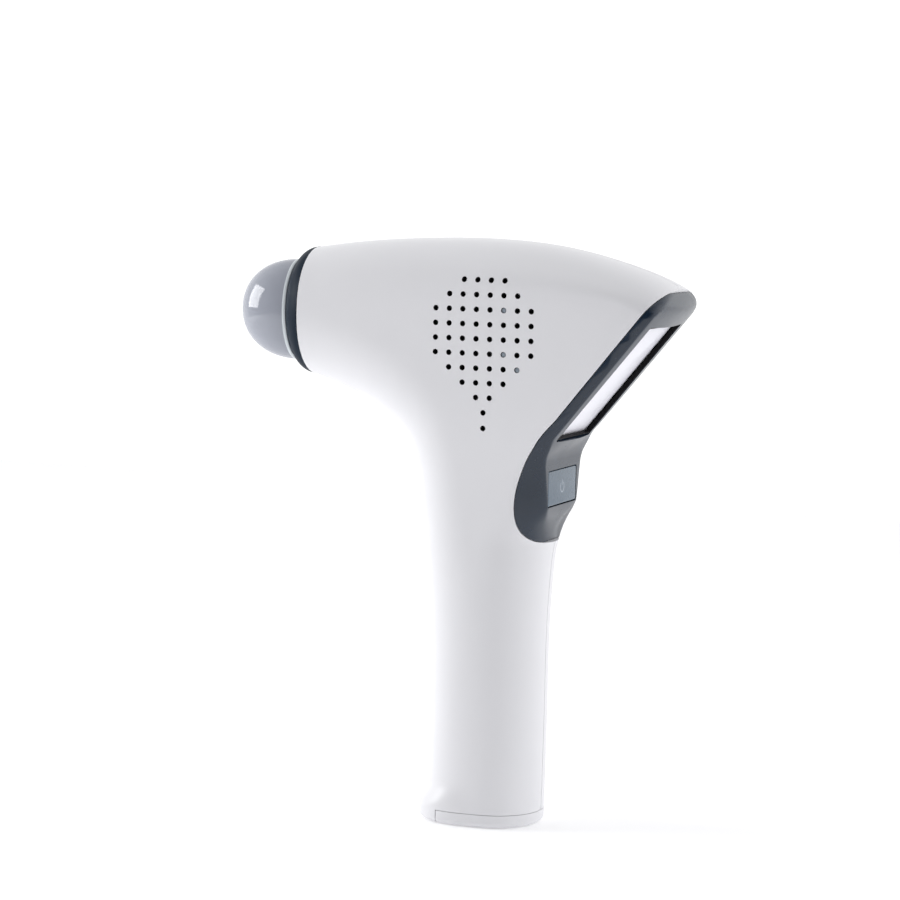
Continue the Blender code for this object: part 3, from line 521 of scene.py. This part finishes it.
def make_materials():
    """Every finish by its short name."""
    return {
        "white": finish_of("white_shell", (0.79, 0.79, 0.815), 0.36, vary=0.012, rough_vary=0.04, blotch=14,
                           grain=3200, bump=0.05, Specular_IOR_Level=0.4),
        "slate": finish_of("slate_bezel", (0.004, 0.015, 0.034), 0.25, vary=0.08, rough_vary=0.03, blotch=40,
                           grain=2600, bump=0.05, Specular_IOR_Level=0.62),
        # The key's slate is painted much lighter than the bezel's: painted light for the bright reflection
        # its face catches.
        "key": finish_of("slate_key_painted_light", (0.090, 0.128, 0.172), 0.27, vary=0.05, rough_vary=0.03, blotch=60,
                         grain=2600, bump=0.06, wear_and_highlight=0.3),
        # Also colours the vent plugs, where this grey is painted shade of a blind hole.
        "print_and_plug_shade": finish_of("pad_print_and_plug_shade", (0.33, 0.38, 0.44), 0.4, vary=0.06, blotch=900),
        "collar": finish_of("slate_collar", (0.009, 0.017, 0.030), 0.45, vary=0.08, blotch=60, grain=2600,
                            bump=0.10, Specular_IOR_Level=0.06),
        "black_plastic": finish_of("black_plastic", (0.020, 0.021, 0.023), 0.46, vary=0.15, blotch=90,
                                   bump=0.2, wear_and_highlight=0.2),
        # Painted shade: the walls of the vent holes, darkened as the shade inside them would be.
        "dark": finish_of("vent_wall_painted_shade", (0.012, 0.012, 0.013), 0.7, vary=0.15),
        "rubber": finish_of("gasket_rubber", (0.004, 0.004, 0.005), 0.62, vary=0.2, blotch=300, bump=0.25,
                            Specular_IOR_Level=0.12),
        "smoke_clear": finish_of("smoke_cap", (0.38, 0.40, 0.46), 0.06, vary=0.04, rough_vary=0.02, blotch=35,
                                 grain=1500, bump=0.012, Transmission_Weight=0.12, IOR=1.5),
        # Painted reflection: the pale ring at the dome's rim.
        "cap_rim_painted_reflection": finish_of("cap_rim_painted_reflection", (0.66, 0.71, 0.74), 0.12, vary=0.05, rough_vary=0.02, blotch=60,
                              bump=0.02),
        # The screen's near-white is painted reflection of the bright surroundings, over the panel's own grey.
        "screen": finish_of("screen_painted_reflection", (0.86, 0.86, 0.92), 0.34, vary=0.02, rough_vary=0.03, blotch=30,
                            grain=5000, bump=0.02, Specular_IOR_Level=0.25),
        "filter_glass": finish_of("filter_amber", (0.80, 0.30, 0.08), 0.03, vary=0.06, rough_vary=0.02,
                                  bump=0.004, Transmission_Weight=0.85, IOR=1.5),
        "lamp_glass": finish_of("quartz_tube", (0.93, 0.95, 0.97), 0.03, vary=0.03, rough_vary=0.02,
                                bump=0.01, Transmission_Weight=0.9, IOR=1.46),
        "lcd": lcd_finish(),
        "board": board_finish(),
        "steel": finish_of("plated_steel", (0.62, 0.62, 0.60), 0.24, 1.0, vary=0.08, rough_vary=0.08,
                           blotch=200, grain=4000, bump=0.10, stretch=(1, 6, 1)),
        "mirror": finish_of("bright_aluminium", (0.88, 0.89, 0.90), 0.07, 1.0, vary=0.03, bump=0.02),
        "cast_aluminium": finish_of("cast_aluminium", (0.52, 0.53, 0.55), 0.42, 1.0, vary=0.1, blotch=220,
                                    bump=0.3, depth=0.00006),
        "brass": finish_of("contact_brass", (0.76, 0.56, 0.24), 0.24, 1.0, vary=0.12, blotch=400, bump=0.1),
        "copper": finish_of("copper_winding", (0.66, 0.28, 0.11), 0.3, 1.0, vary=0.25, blotch=120, grain=1500,
                            bump=0.6, depth=0.0002, stretch=(1, 1, 9)),
        "ferrite": finish_of("ferrite", (0.045, 0.045, 0.05), 0.6, vary=0.2, blotch=300, bump=0.3),
        "sleeve": finish_of("capacitor_sleeve", (0.025, 0.04, 0.13), 0.28, vary=0.12, blotch=90, bump=0.08),
        "red_insulation": finish_of("red_insulation", (0.5, 0.018, 0.018), 0.4, vary=0.1, blotch=200),
        "black_insulation": finish_of("black_insulation", (0.014, 0.014, 0.016), 0.42, vary=0.1, blotch=200),
    }


# ---- housing, bezel and base --------------------------------------------------------------------------
COARSE = dict(sub=4, steps=8, middle=6)  # for what hardly shows
# Cutters run past the body to here: its sides, its ends, and the handle's back and foot.
WIDE = 40
PAST_LOW, PAST_HIGH = (-110, -10), (110, 230)
PAST_HANDLE, UNDER_FOOT = 60, -5
FACE_HALF = 24  # the display face's crown ends here, and its outline runs on level
FAR_BACK = 130
TUBE_R, TUBE_ENDS = 2.7, (0.4, 26.0)
SCREW_WELL = [(-2.0, 1.5), (4.0, 1.5), (4.0, 2.2), (40.0, 2.2)]
INLET = [(-3, 5.4), (0.0, 5.0), (0.4, 4.6), (9, 4.6)]


def body(name, inset=0.0, **options):
    """The body's solid, set in by inset."""
    return add(name, lambda bm: loops_to_mesh(bm, body_loops(inset, **options)))


def region(name, profile):
    """Everything behind a rear profile; the profile may be a function of y."""
    def behind(line):
        top, low = line[0], line[-1]
        return [*line, (low[0] + PAST_HANDLE, low[1]), (FAR_BACK, low[1]), (FAR_BACK, top[1])]

    if not callable(profile):
        return add(name, lambda bm: prism(bm, behind(profile), -WIDE, WIDE))
    places = [-WIDE, *np.linspace(-FACE_HALF, FACE_HALF, 33), WIDE]
    return add(name, lambda bm: loops_to_mesh(bm, [
        [(x, y, z) for x, z in behind(profile(min(FACE_HALF, abs(y))))] for y in places]))


def slab(name, low, high):
    """A block between two corners, mostly a cutter."""
    return add(name, lambda bm: box(bm, low, high))


def rods(name, places, radius, low, high, sides=24):
    """Round rods along Y through (x, z) places."""
    return add(name, lambda bm: [prism(bm, ellipse(radius, radius, sides, place), low, high)
                                 for place in places])


def paint_vent_shade(shell):
    """Gives the walls of the vent holes the second material, painted shade that makes the holes read dark."""
    holes = np.array(vents()) * MM
    for poly in shell.data.polygons:
        x, _, z = poly.center
        if abs(poly.normal.y) < 0.5 and np.hypot(holes[:, 0] - x, holes[:, 1] - z).min() < 1.05 * VENT_R * MM:
            poly.material_index = 1


def make_housing(side, outer, mats):
    """One white half: side is -1 for the left and 1 for the right, which takes the screws."""
    name = "shell_left" if side < 0 else "shell_right"
    low, high = sorted((side * -PAST_HANDLE, side * GAP / 2))
    shell = cut(body(name), [
        body("inside", WALL, below=5, ahead=5),
        slab("other_half", (PAST_LOW[0], low, PAST_LOW[1]), (PAST_HIGH[0], high, PAST_HIGH[1]))])
    if side > 0:
        tubes = cut(rods("tubes", SCREWS, TUBE_R, *TUBE_ENDS), [body("core", WALL / 2)], "INTERSECT")
        cut(shell, [tubes], "UNION")
        cut(shell, [add("wells", lambda bm: [turned(bm, place, SCREW_WELL) for place in SCREWS])])
    cut(shell, [region("behind_seam", seam_profile()),
                slab("cap_room", (BASE_SPLIT_X, -WIDE, UNDER_FOOT), (PAST_HANDLE, WIDE, BASE_HEIGHT + GAP)),
                rods("vent_cut", vents(), VENT_R, *sorted((side * 11.0, side * WIDE)), sides=20)])
    shell.data.materials.append(mats["white"])
    shell.data.materials.append(mats["dark"])
    paint_vent_shade(shell)
    smooth_like(shell, outer)
    claim(shell, "handset", ["left_housing" if side < 0 else "right_housing"])


def make_tongue(mats):
    """The step inside the parting line, where one half's rim sits in the other's."""
    tongue = cut(body("seam_tongue", 0.7, **COARSE), [
        body("inside", WALL - 0.4, below=5, ahead=5, **COARSE),
        region("behind_seam", seam_profile(-1.0)),
        slab("cap_room", (BASE_SPLIT_X - 0.5, -WIDE, UNDER_FOOT), (PAST_HANDLE, WIDE, BASE_HEIGHT + 1)),
        slab("foot", (-PAST_HANDLE, -WIDE, UNDER_FOOT), (PAST_HANDLE, WIDE, 0.8))])
    half = GAP * 0.4
    cut(tongue, [slab("strip", (NOSE_X + 0.5, -half, PAST_LOW[1]), (PAST_HIGH[0], half, PAST_HIGH[1]))],
        "INTERSECT")
    tongue.data.materials.append(mats["white"])
    claim(tongue, "handset")


def face_sheet():
    """The display face's surface from side to side."""
    return [[(x, y, z) for x, z in face_profile(0.0, abs(y))] for y in np.linspace(-FACE_HALF, FACE_HALF, 49)]


def place_on_face(obj):
    """Turns a piece drawn round the origin into the display face, centred on the window."""
    x, z = face_point(WINDOW[1] / 2)
    turn = Matrix((FACE_DIR, Vector((0, -1, 0)), FACE_OUT)).transposed().to_4x4()
    obj.matrix_world = Matrix.Translation(Vector((x, 0, z)) * MM) @ turn


def edge_width(spot):
    """How far the bezel's edge is rounded at a place: wider below the display."""
    return (1.4 + 4.5 * smoothstep((110 - spot.z / MM) / 8)) * MM


def make_bezel(outer, mats):
    """The dark rear: the display face with its opening, the key's wall and the chin."""
    bezel = cut(body("bezel"), [region("bezel_region", seam_profile(GAP))], "INTERSECT")
    cavity = cut(body("cavity", WALL - 0.2), [region("behind_plate", lambda y: face_profile(FACE_PLATE, y))])
    window = add("window_cut", lambda bm: prism(bm, rounded(WINDOW[1] / 2, WINDOW[0] / 2, 1.0), -6, 6, "Z"))
    place_on_face(window)
    low, high = KEY_Z
    outline = rounded(KEY_HALF_WIDTH + GAP, (high - low) / 2 + GAP, 1.0, centre=(0, (low + high) / 2))
    room = add("key_room", lambda bm: prism(bm, outline, KEY_X - 8, KEY_X + 8, "X"))
    cut(bezel, [region("behind_face", lambda y: face_profile(0.0, y)), cavity, window, room])
    bezel.data.materials.append(mats["slate"])
    smooth_like(bezel, outer, tree_of(face_sheet(), closed=False), soften=edge_width)
    claim(bezel, "handset", ["rear_bezel"])


def make_base(outer, mats):
    """The foot's closed cap, with a plug inside the housing and the inlet under it."""
    cap = cut(body("foot_cap"), [
        slab("foot_slab", (BASE_SPLIT_X + GAP, -WIDE, UNDER_FOOT), (PAST_HANDLE, WIDE, BASE_HEIGHT + 0.14))],
        "INTERSECT")
    rim = body_loops(WALL + GAP)[-1]
    plug = add("plug", lambda bm: loops_to_mesh(bm, [[(x, y, z + d) for x, y, z in rim]
                                                     for d in (-1, BASE_HEIGHT)]))
    cut(plug, [slab("plug_slab", (-PAST_HANDLE, -WIDE, 0), (BASE_SPLIT_X + 2, WIDE, 9))], "INTERSECT")
    cut(cap, [plug], "UNION")
    cut(cap, [add("inlet", lambda bm: turned(bm, JACK, INLET, 40, "Z"))])
    cap.data.materials.append(mats["white"])
    smooth_like(cap, outer)
    claim(cap, "handset", ["base_cap"])


def make_screws(mats):
    """Pan-head screws with a cross recess."""
    turns, pitch = 13, 0.75
    profile = [(5.9, 0.3), (5.9, 1.3), (5.75, 1.7), (5.4, 1.9), (4.3, 1.9), (4.3, 1.15)]
    for turn in range(turns):
        profile += [(4.0 - turn * pitch, 1.15), (3.65 - turn * pitch, 0.95)]
    profile += [(-5.8, 0.9), (-6.6, 0.4)]
    made = cut(add("screw_shape", lambda bm: turned(bm, (0, 0), profile, 24)), [
        slab("slot_along", (-1.1, 5.1, -0.22), (1.1, 7, 0.22)),
        slab("slot_across", (-0.22, 5.15, -1.1), (0.22, 7, 1.1))])
    made.data.materials.append(mats["steel"])
    made.data.shade_smooth()
    made.data.set_sharp_from_angle(angle=SHARP)
    screws = [made] + [made.copy() for _ in SCREWS[1:]]
    for number, (screw, (x, z)) in enumerate(zip(screws, SCREWS), 1):
        if number > 1:
            bpy.context.scene.collection.objects.link(screw)
        screw.name = f"shell_screw_{number}"
        screw.location = (x * MM, 0, z * MM)
        claim(screw, "handset", [f"housing_screw_{number}"])


def make_plugs(outer, mats):
    """Three vent holes are filled flush with small pale plugs, greyer than the housing as painted shade of a
    blind hole.
    """
    for number, (column, row) in enumerate([(5, 2), (5, 5), (6, 6)], 1):
        place = (VENT_ORIGIN[0] + column * VENT_PITCH, VENT_ORIGIN[1] - row * VENT_PITCH)
        start = Vector((place[0], -WIDE, place[1])) * MM
        hit = outer[0].ray_cast(start, Vector((0, 1, 0)))[0].y / MM
        profile = [(hit + 0.30, 0.35), (hit + 0.34, 0.7), (hit + 0.6, 0.90), (hit + 2.4, 0.90)]
        # The plugs' grey is painted shade of a blind hole.
        add(f"vent_plug_{number}", lambda bm: turned(bm, place, profile, 20), mats["print_and_plug_shade"], "handset",
            slot="white")


# ---- display and key ----------------------------------------------------------------------------------
# Depths run inwards, from the display face or from the key's front.
GASKET_DEPTHS, GASKET_RIM = (0.9, 2.3), (0.75, 0.9)
SCREEN_DEPTHS, SCREEN_LAP = (2.8, 4.0), 0.6
KEY_MIDDLE = sum(KEY_Z) / 2
KEY_THICK, KEY_EDGE, POST_R, POST_DEPTHS = 2.4, 0.45, 2.4, (1.5, 3.6)
PLATE_CORNER = 0.9
ICON_Z, ICON_RADII, ICON_OPEN, ICON_STEPS = KEY_MIDDLE - 0.2, (1.95, 1.50), 38, 40
ICON_BAR, ICON_DEPTHS, ICON_LIFT = (0.22, 0.95), (0.001, 0.1), 0.004


def make_gasket(mats):
    """The black rim round the display, in the opening's wall."""
    width, length = WINDOW
    near, far = GASKET_DEPTHS
    gasket = add("screen_gasket", lambda bm: soft_plate(bm, length / 2 - GAP, width / 2 - GAP, PLATE_CORNER,
                                                        -far, -near, 0.25))
    hole = rounded(length / 2 - GASKET_RIM[0], width / 2 - GASKET_RIM[1], 0.4)
    cut(gasket, [add("gasket_hole", lambda bm: prism(bm, hole, -9, 9, "Z"))])
    gasket.data.materials.append(mats["rubber"])
    gasket.data.set_sharp_from_angle(angle=SHARP)
    place_on_face(gasket)
    claim(gasket, "handset", ["display_gasket"])


def make_screen(mats):
    """The pale film over the display, held behind the opening; its pale colour is painted reflection of the
    bright surroundings over the panel's grey.
    """
    width, length = WINDOW[0] + SCREEN_LAP, WINDOW[1] + SCREEN_LAP
    near, far = SCREEN_DEPTHS
    screen = add("screen_cover", lambda bm: soft_plate(bm, length / 2, width / 2, PLATE_CORNER, -far, -near,
                                                       0.15), mats["screen"])
    place_on_face(screen)
    claim(screen, "handset", ["display_window"])


def make_key(mats):
    """The push key, with the post that reaches its switch."""
    low, high = KEY_Z
    near, far = POST_DEPTHS
    key = add("push_key", lambda bm: soft_plate(bm, KEY_HALF_WIDTH, (high - low) / 2, PLATE_CORNER,
                                                KEY_X - KEY_THICK, KEY_X, KEY_EDGE, "X", (0, KEY_MIDDLE)))
    post = ellipse(POST_R, POST_R, 24, (0, KEY_MIDDLE))
    cut(key, [add("post", lambda bm: prism(bm, post, KEY_X - far, KEY_X - near, "X"))], "UNION")
    key.data.materials.append(mats["key"])
    key.data.set_sharp_from_angle(angle=SHARP)
    claim(key, "key", ["power_key"])


def draw_icon(bm):
    """A plain standby symbol: an open ring and a bar."""
    sweep = 360 - 2 * ICON_OPEN
    angles = [math.radians(90 + ICON_OPEN + k * sweep / ICON_STEPS) for k in range(ICON_STEPS + 1)]
    outer, inner = ICON_RADII
    band = [(outer * math.cos(a), ICON_Z + outer * math.sin(a)) for a in angles]
    band += [(inner * math.cos(a), ICON_Z + inner * math.sin(a)) for a in reversed(angles)]
    near, far = ICON_DEPTHS
    for outline in (band, rounded(*ICON_BAR, 0.2, 4, (0, KEY_MIDDLE + 1.3))):
        prism(bm, outline, KEY_X - far, KEY_X - near, "X")


def make_icon(mats):
    """The symbol's print, a hair proud of the key."""
    mark = add("key_mark", draw_icon, mats["print_and_plug_shade"], "key", slot="slate", sharp=30)
    mark.location.x += ICON_LIFT * MM


# ---- nose ---------------------------------------------------------------------------------------------
NOSE_STEPS, CARTRIDGE_STEPS = 120, 96
CAP_APEX, CAP_BASE_X, CAP_RZ, CAP_RY, CAP_WALL, CAP_POWER = 21.4, -73.3, 17.5, 13.3, 1.5, 2.2
GROOVES, GROOVE_START, GROOVE_PITCH = 6, -66.0, 2.2
FLATTER = 4.6  # the cartridge's level radius is smaller by this
PIN_Y, PIN_HOLE_R = 7.8, 1.3
PIN = [(-74.8, 0.2), (-74.76, 0.5), (-74.6, 0.8), (-74.4, 0.95), (-74.1, 1.0), (-66.4, 1.0)]


def nose_loops(profile, steps):
    """Outlines round the nose's axis, from rows of (x, upright radius, level radius)."""
    return [[(x, y, NOSE_Z + z) for y, z in ellipse(ry, rz, steps)] for x, rz, ry in profile]


def nose_ring(name, profile, steps, *rest, **more):
    """A closed ring round the nose's axis; the rest is as for add."""
    return add(name, lambda bm: loops_to_mesh(bm, nose_loops(profile, steps), closed=True), *rest, **more)


def dome(inset, steps=30):
    """The cap's profile from its rim to its apex, set in by inset."""
    made = []
    for k in range(steps + 1):
        turn = math.pi / 2 * min(k / steps, 0.994)
        ahead = math.sin(turn) ** (2 / CAP_POWER)
        across = math.cos(turn) ** (2 / CAP_POWER)
        made.append((CAP_BASE_X - (CAP_APEX - inset) * ahead, (CAP_RZ - inset) * across,
                     (CAP_RY - inset) * across))
    return made


def make_collar(mats):
    """The dark stepped ring between the housing and the cap."""
    lip = [tuple(p) for p in catmull([(-66.2, 22.1, 19.0), (-68.2, 21.6, 18.1), (-70.0, 20.6, 16.8),
                                      (-71.6, 19.1, 15.0), (-72.6, 17.8, 13.6)], 5)]
    profile = lip + [(-72.55, 17.2, 12.7), (-72.3, 16.8, 12.2), (-60.0, 16.8, 12.2), (-60.0, 19.0, 15.8),
                     (-66.2, 19.0, 15.8)]
    nose_ring("nose_ring", profile, NOSE_STEPS, mats["collar"], "handset", ["nose_collar"], "slate")


def make_cap(mats):
    """The smoked dome with its inner lip, and the pale rim that closes it off; the rim's pale colour is a
    painted reflection along the dome's edge.
    """
    flange = [(-73.05, CAP_RZ - 0.05, CAP_RY - 0.05), (-72.9, CAP_RZ - 0.25, CAP_RY - 0.25),
              (-72.9, 16.4, 11.8), (-70.9, 16.4, 11.8), (-70.6, 16.2, 11.6), (-70.6, 15.5, 10.9),
              (-70.8, 15.3, 10.7), (-73.7, 15.3, 10.7)]
    profile = dome(0.0)[::-1] + flange + dome(CAP_WALL)[2:]
    add("lens_cap", lambda bm: loops_to_mesh(bm, nose_loops(profile, NOSE_STEPS)), mats["smoke_clear"],
        "cap", ["dust_cap"], "smoke_clear", sharp=40)
    # The lip's pale colour is a painted reflection of light along the dome's rim.
    lip = [(-74.2, 17.55, 13.35), (-73.2, 17.75, 13.55), (-72.95, 17.6, 13.4), (-72.95, 17.3, 13.1),
           (-74.2, 17.3, 13.1)]
    nose_ring("cap_lip", lip, NOSE_STEPS, mats["cap_rim_painted_reflection"], "cap", slot="smoke_clear", sharp=50)


def make_cartridge(mats):
    """The lamp cartridge's grooved wall."""
    wall = [(-69.9, 15.2), (-69.9, 16.1), (-69.7, 16.3)]
    for groove in range(GROOVES):
        x = GROOVE_START + groove * GROOVE_PITCH
        wall += [(x, 16.3), (x + 0.2, 16.0), (x + 0.9, 16.0), (x + 1.1, 16.3)]
    wall += [(-43.2, 16.3), (-43.0, 16.1), (-43.0, 0.8), (-44.6, 0.8), (-44.6, 14.9), (-69.6, 14.9)]
    profile = [(x, radius, max(0.6, radius - FLATTER)) for x, radius in wall]
    nose_ring("cartridge_shell", profile, CARTRIDGE_STEPS, mats["black_plastic"], "cartridge",
              ["cartridge_body"], "black_plastic")


def make_light_frame(mats):
    """The cartridge's front plate, with its window and two holes for the skin sensors."""
    profile = [(-73.6, 13.7, 9.1), (-73.58, 14.0, 9.4), (-73.4, 14.4, 9.8), (-73.0, 14.75, 10.15),
               (-72.6, 14.8, 10.2), (-70.2, 14.8, 10.2)]
    front = add("light_frame", lambda bm: loops_to_mesh(bm, nose_loops(profile, CARTRIDGE_STEPS)))
    opening = [[(x, y, NOSE_Z + z) for y, z in rounded(5.0 + d, 10.6 + d, 0.8 + d * 0.5, 5)]
               for x, d in ((-80.0, 0.5), (-73.6, 0.5), (-72.9, 0.05), (-72.0, 0.0), (-60.0, 0.0))]
    holes = [ellipse(PIN_HOLE_R, PIN_HOLE_R, 24, (y, NOSE_Z)) for y in (-PIN_Y, PIN_Y)]
    cut(front, [add("opening", lambda bm: loops_to_mesh(bm, opening)),
                add("pins", lambda bm: [prism(bm, hole, -80, -60, "X") for hole in holes])])
    front.data.materials.append(mats["black_plastic"])
    front.data.shade_smooth()
    front.data.set_sharp_from_angle(angle=SHARP)
    claim(front, "cartridge", ["window_frame"])


def make_pins(mats):
    """The two sprung skin sensors."""
    for name, y in (("left", -PIN_Y), ("right", PIN_Y)):
        add(f"contact_pin_{name}", lambda bm: turned(bm, (y, NOSE_Z), PIN, 24, "X"), mats["steel"],
            f"{name}_sensor", [f"skin_sensor_{name}"], "steel")


# ---- camera, light and floor --------------------------------------------------------------------------
# In metres and degrees; back points from the object to the camera.
CAMERA_PLACE, CAMERA_BACK, CAMERA_ROLL = (0.3158, -0.8211, 0.2143), (0.3728, -0.9226, 0.0993), 1.3
FLOOR_HALF, FLOOR_Z = 900, -0.2


def make_camera():
    """A long lens on the left side, a little behind the handle."""
    back = Vector(CAMERA_BACK).normalized()
    right = Vector((0, 0, 1)).cross(back).normalized()
    up = back.cross(right)
    roll = math.radians(CAMERA_ROLL)
    side = right * math.cos(roll) + up * math.sin(roll)
    top = up * math.cos(roll) - right * math.sin(roll)
    camera = bpy.data.objects.new("camera", bpy.data.cameras.new("camera"))
    camera.data.lens = 104
    camera.data.sensor_width = 36
    camera.data.clip_start = 0.01
    camera.data.clip_end = 50
    turn = Matrix((side, top, back)).transposed().to_4x4()
    camera.matrix_world = Matrix.Translation(CAMERA_PLACE) @ turn
    bpy.context.scene.collection.objects.link(camera)
    bpy.context.scene.camera = camera


def area(name, place, target, width, height, power):
    """A rectangular light at a place, facing a target."""
    light = bpy.data.lights.new(name, "AREA")
    light.shape = "RECTANGLE"
    light.size = width
    light.size_y = height
    light.energy = power
    made = bpy.data.objects.new(name, light)
    made.location = place
    made.rotation_mode = "QUATERNION"
    made.rotation_quaternion = (Vector(target) - Vector(place)).to_track_quat("-Z", "Y")
    bpy.context.scene.collection.objects.link(made)


def combine(tree, operation, first, second):
    """Two values joined by a mathematical operation."""
    made = tree.nodes.new("ShaderNodeMath")
    made.operation = operation
    tree.links.new(first, made.inputs[0])
    tree.links.new(second, made.inputs[1])
    return made.outputs[0]


def make_world():
    """White surroundings: brightest behind the object and on its right, and dimmer overhead."""
    world = bpy.data.worlds.new("studio")
    world.use_nodes = True
    bpy.context.scene.world = world
    tree = world.node_tree
    coords = tree.nodes.new("ShaderNodeTexCoord")
    split = tree.nodes.new("ShaderNodeSeparateXYZ")
    tree.links.new(coords.outputs["Generated"], split.inputs["Vector"])
    x, y, z = (split.outputs[axis] for axis in "XYZ")
    sky = ramp(tree, spread(tree, y, 0.0, 1.0, -0.6, 0.75),
               [(0.0, (0.98, 0.98, 1.0)), (1.0, (1.0, 1.0, 1.0))])
    behind = spread(tree, y, 0.05, 1.12, -0.75, 0.15)
    left = spread(tree, x, 0.19, 0.0, -1.0, 0.3)
    right = spread(tree, x, 0.0, 0.60, 0.2, 0.9)
    around = combine(tree, "ADD", behind, combine(tree, "ADD", left, right))
    overhead = spread(tree, z, 1.0, 0.66, 0.2, 1.0)
    background = tree.nodes["Background"]
    tree.links.new(sky, background.inputs["Color"])
    tree.links.new(combine(tree, "MULTIPLY", around, overhead), background.inputs["Strength"])


def make_studio():
    """White surroundings, two boxes of light and a paper floor."""
    make_world()
    area("top_box", (0.0, -0.25, 1.1), (0, 0, 0.15), 0.9, 0.7, 1.5)
    area("dome_box", (-0.93, -0.24, 0.38), (-0.08, 0, 0.17), 0.46, 0.46, 5.0)
    paper = finish_of("floor_paper", (0.90, 0.90, 0.91), 0.85, vary=0.01, blotch=3, grain=900, bump=0.05,
                      Emission_Color=(1, 1, 1, 1), Emission_Strength=0.24)
    corners = [(-1, -1), (1, -1), (1, 1), (-1, 1)]
    floor = add("floor", lambda bm: bm.faces.new([
        bm.verts.new((x * FLOOR_HALF, y * FLOOR_HALF, FLOOR_Z)) for x, y in corners]), paper, sharp=0)
    bpy.context.scene.view_settings.view_transform = "Standard"


# ---- the CAD nodes that nothing replaces --------------------------------------------------------------
FINISHES = {"transformer_core": "ferrite", "lamp_lead_red": "red_insulation", "display_lead": "sleeve",
            "lamp_lead_black": "black_insulation", "display_panel": "lcd", "reflector": "mirror",
            "heat_sink": "cast_aluminium", "filter_glass": "filter_glass", "flash_tube": "lamp_glass",
            "storage_capacitor": "sleeve", "filter_choke": "copper", "transformer_winding": "copper"}


def finish_for(name):
    """The short name of the finish that suits a CAD node."""
    if name in FINISHES:
        return FINISHES[name]
    if name.endswith("_board"):
        return "board"
    if name.startswith(("tube_electrode", "fan_shaft", "key_switch", "jack_pin")):
        return "steel"
    if name.startswith("cartridge_contact"):
        return "brass"
    return "black_plastic"


def dress_frame(mats):
    """Gives every CAD node the finish that suits it."""
    for name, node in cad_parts.items():
        finish = mats[finish_for(name)]
        for place in node.material_slots:
            place.material = finish
        if not node.material_slots:
            node.data.materials.append(finish)


make_camera()
mats = make_materials()
outer = tree_of(body_loops())
dress_frame(mats)
for side in (-1, 1):
    make_housing(side, outer, mats)
make_tongue(mats)
make_bezel(outer, mats)
make_base(outer, mats)
make_screws(mats)
make_plugs(outer, mats)
for make in (make_gasket, make_screen, make_key, make_icon, make_collar, make_cap, make_cartridge,
             make_light_frame, make_pins):
    make(mats)
make_studio()
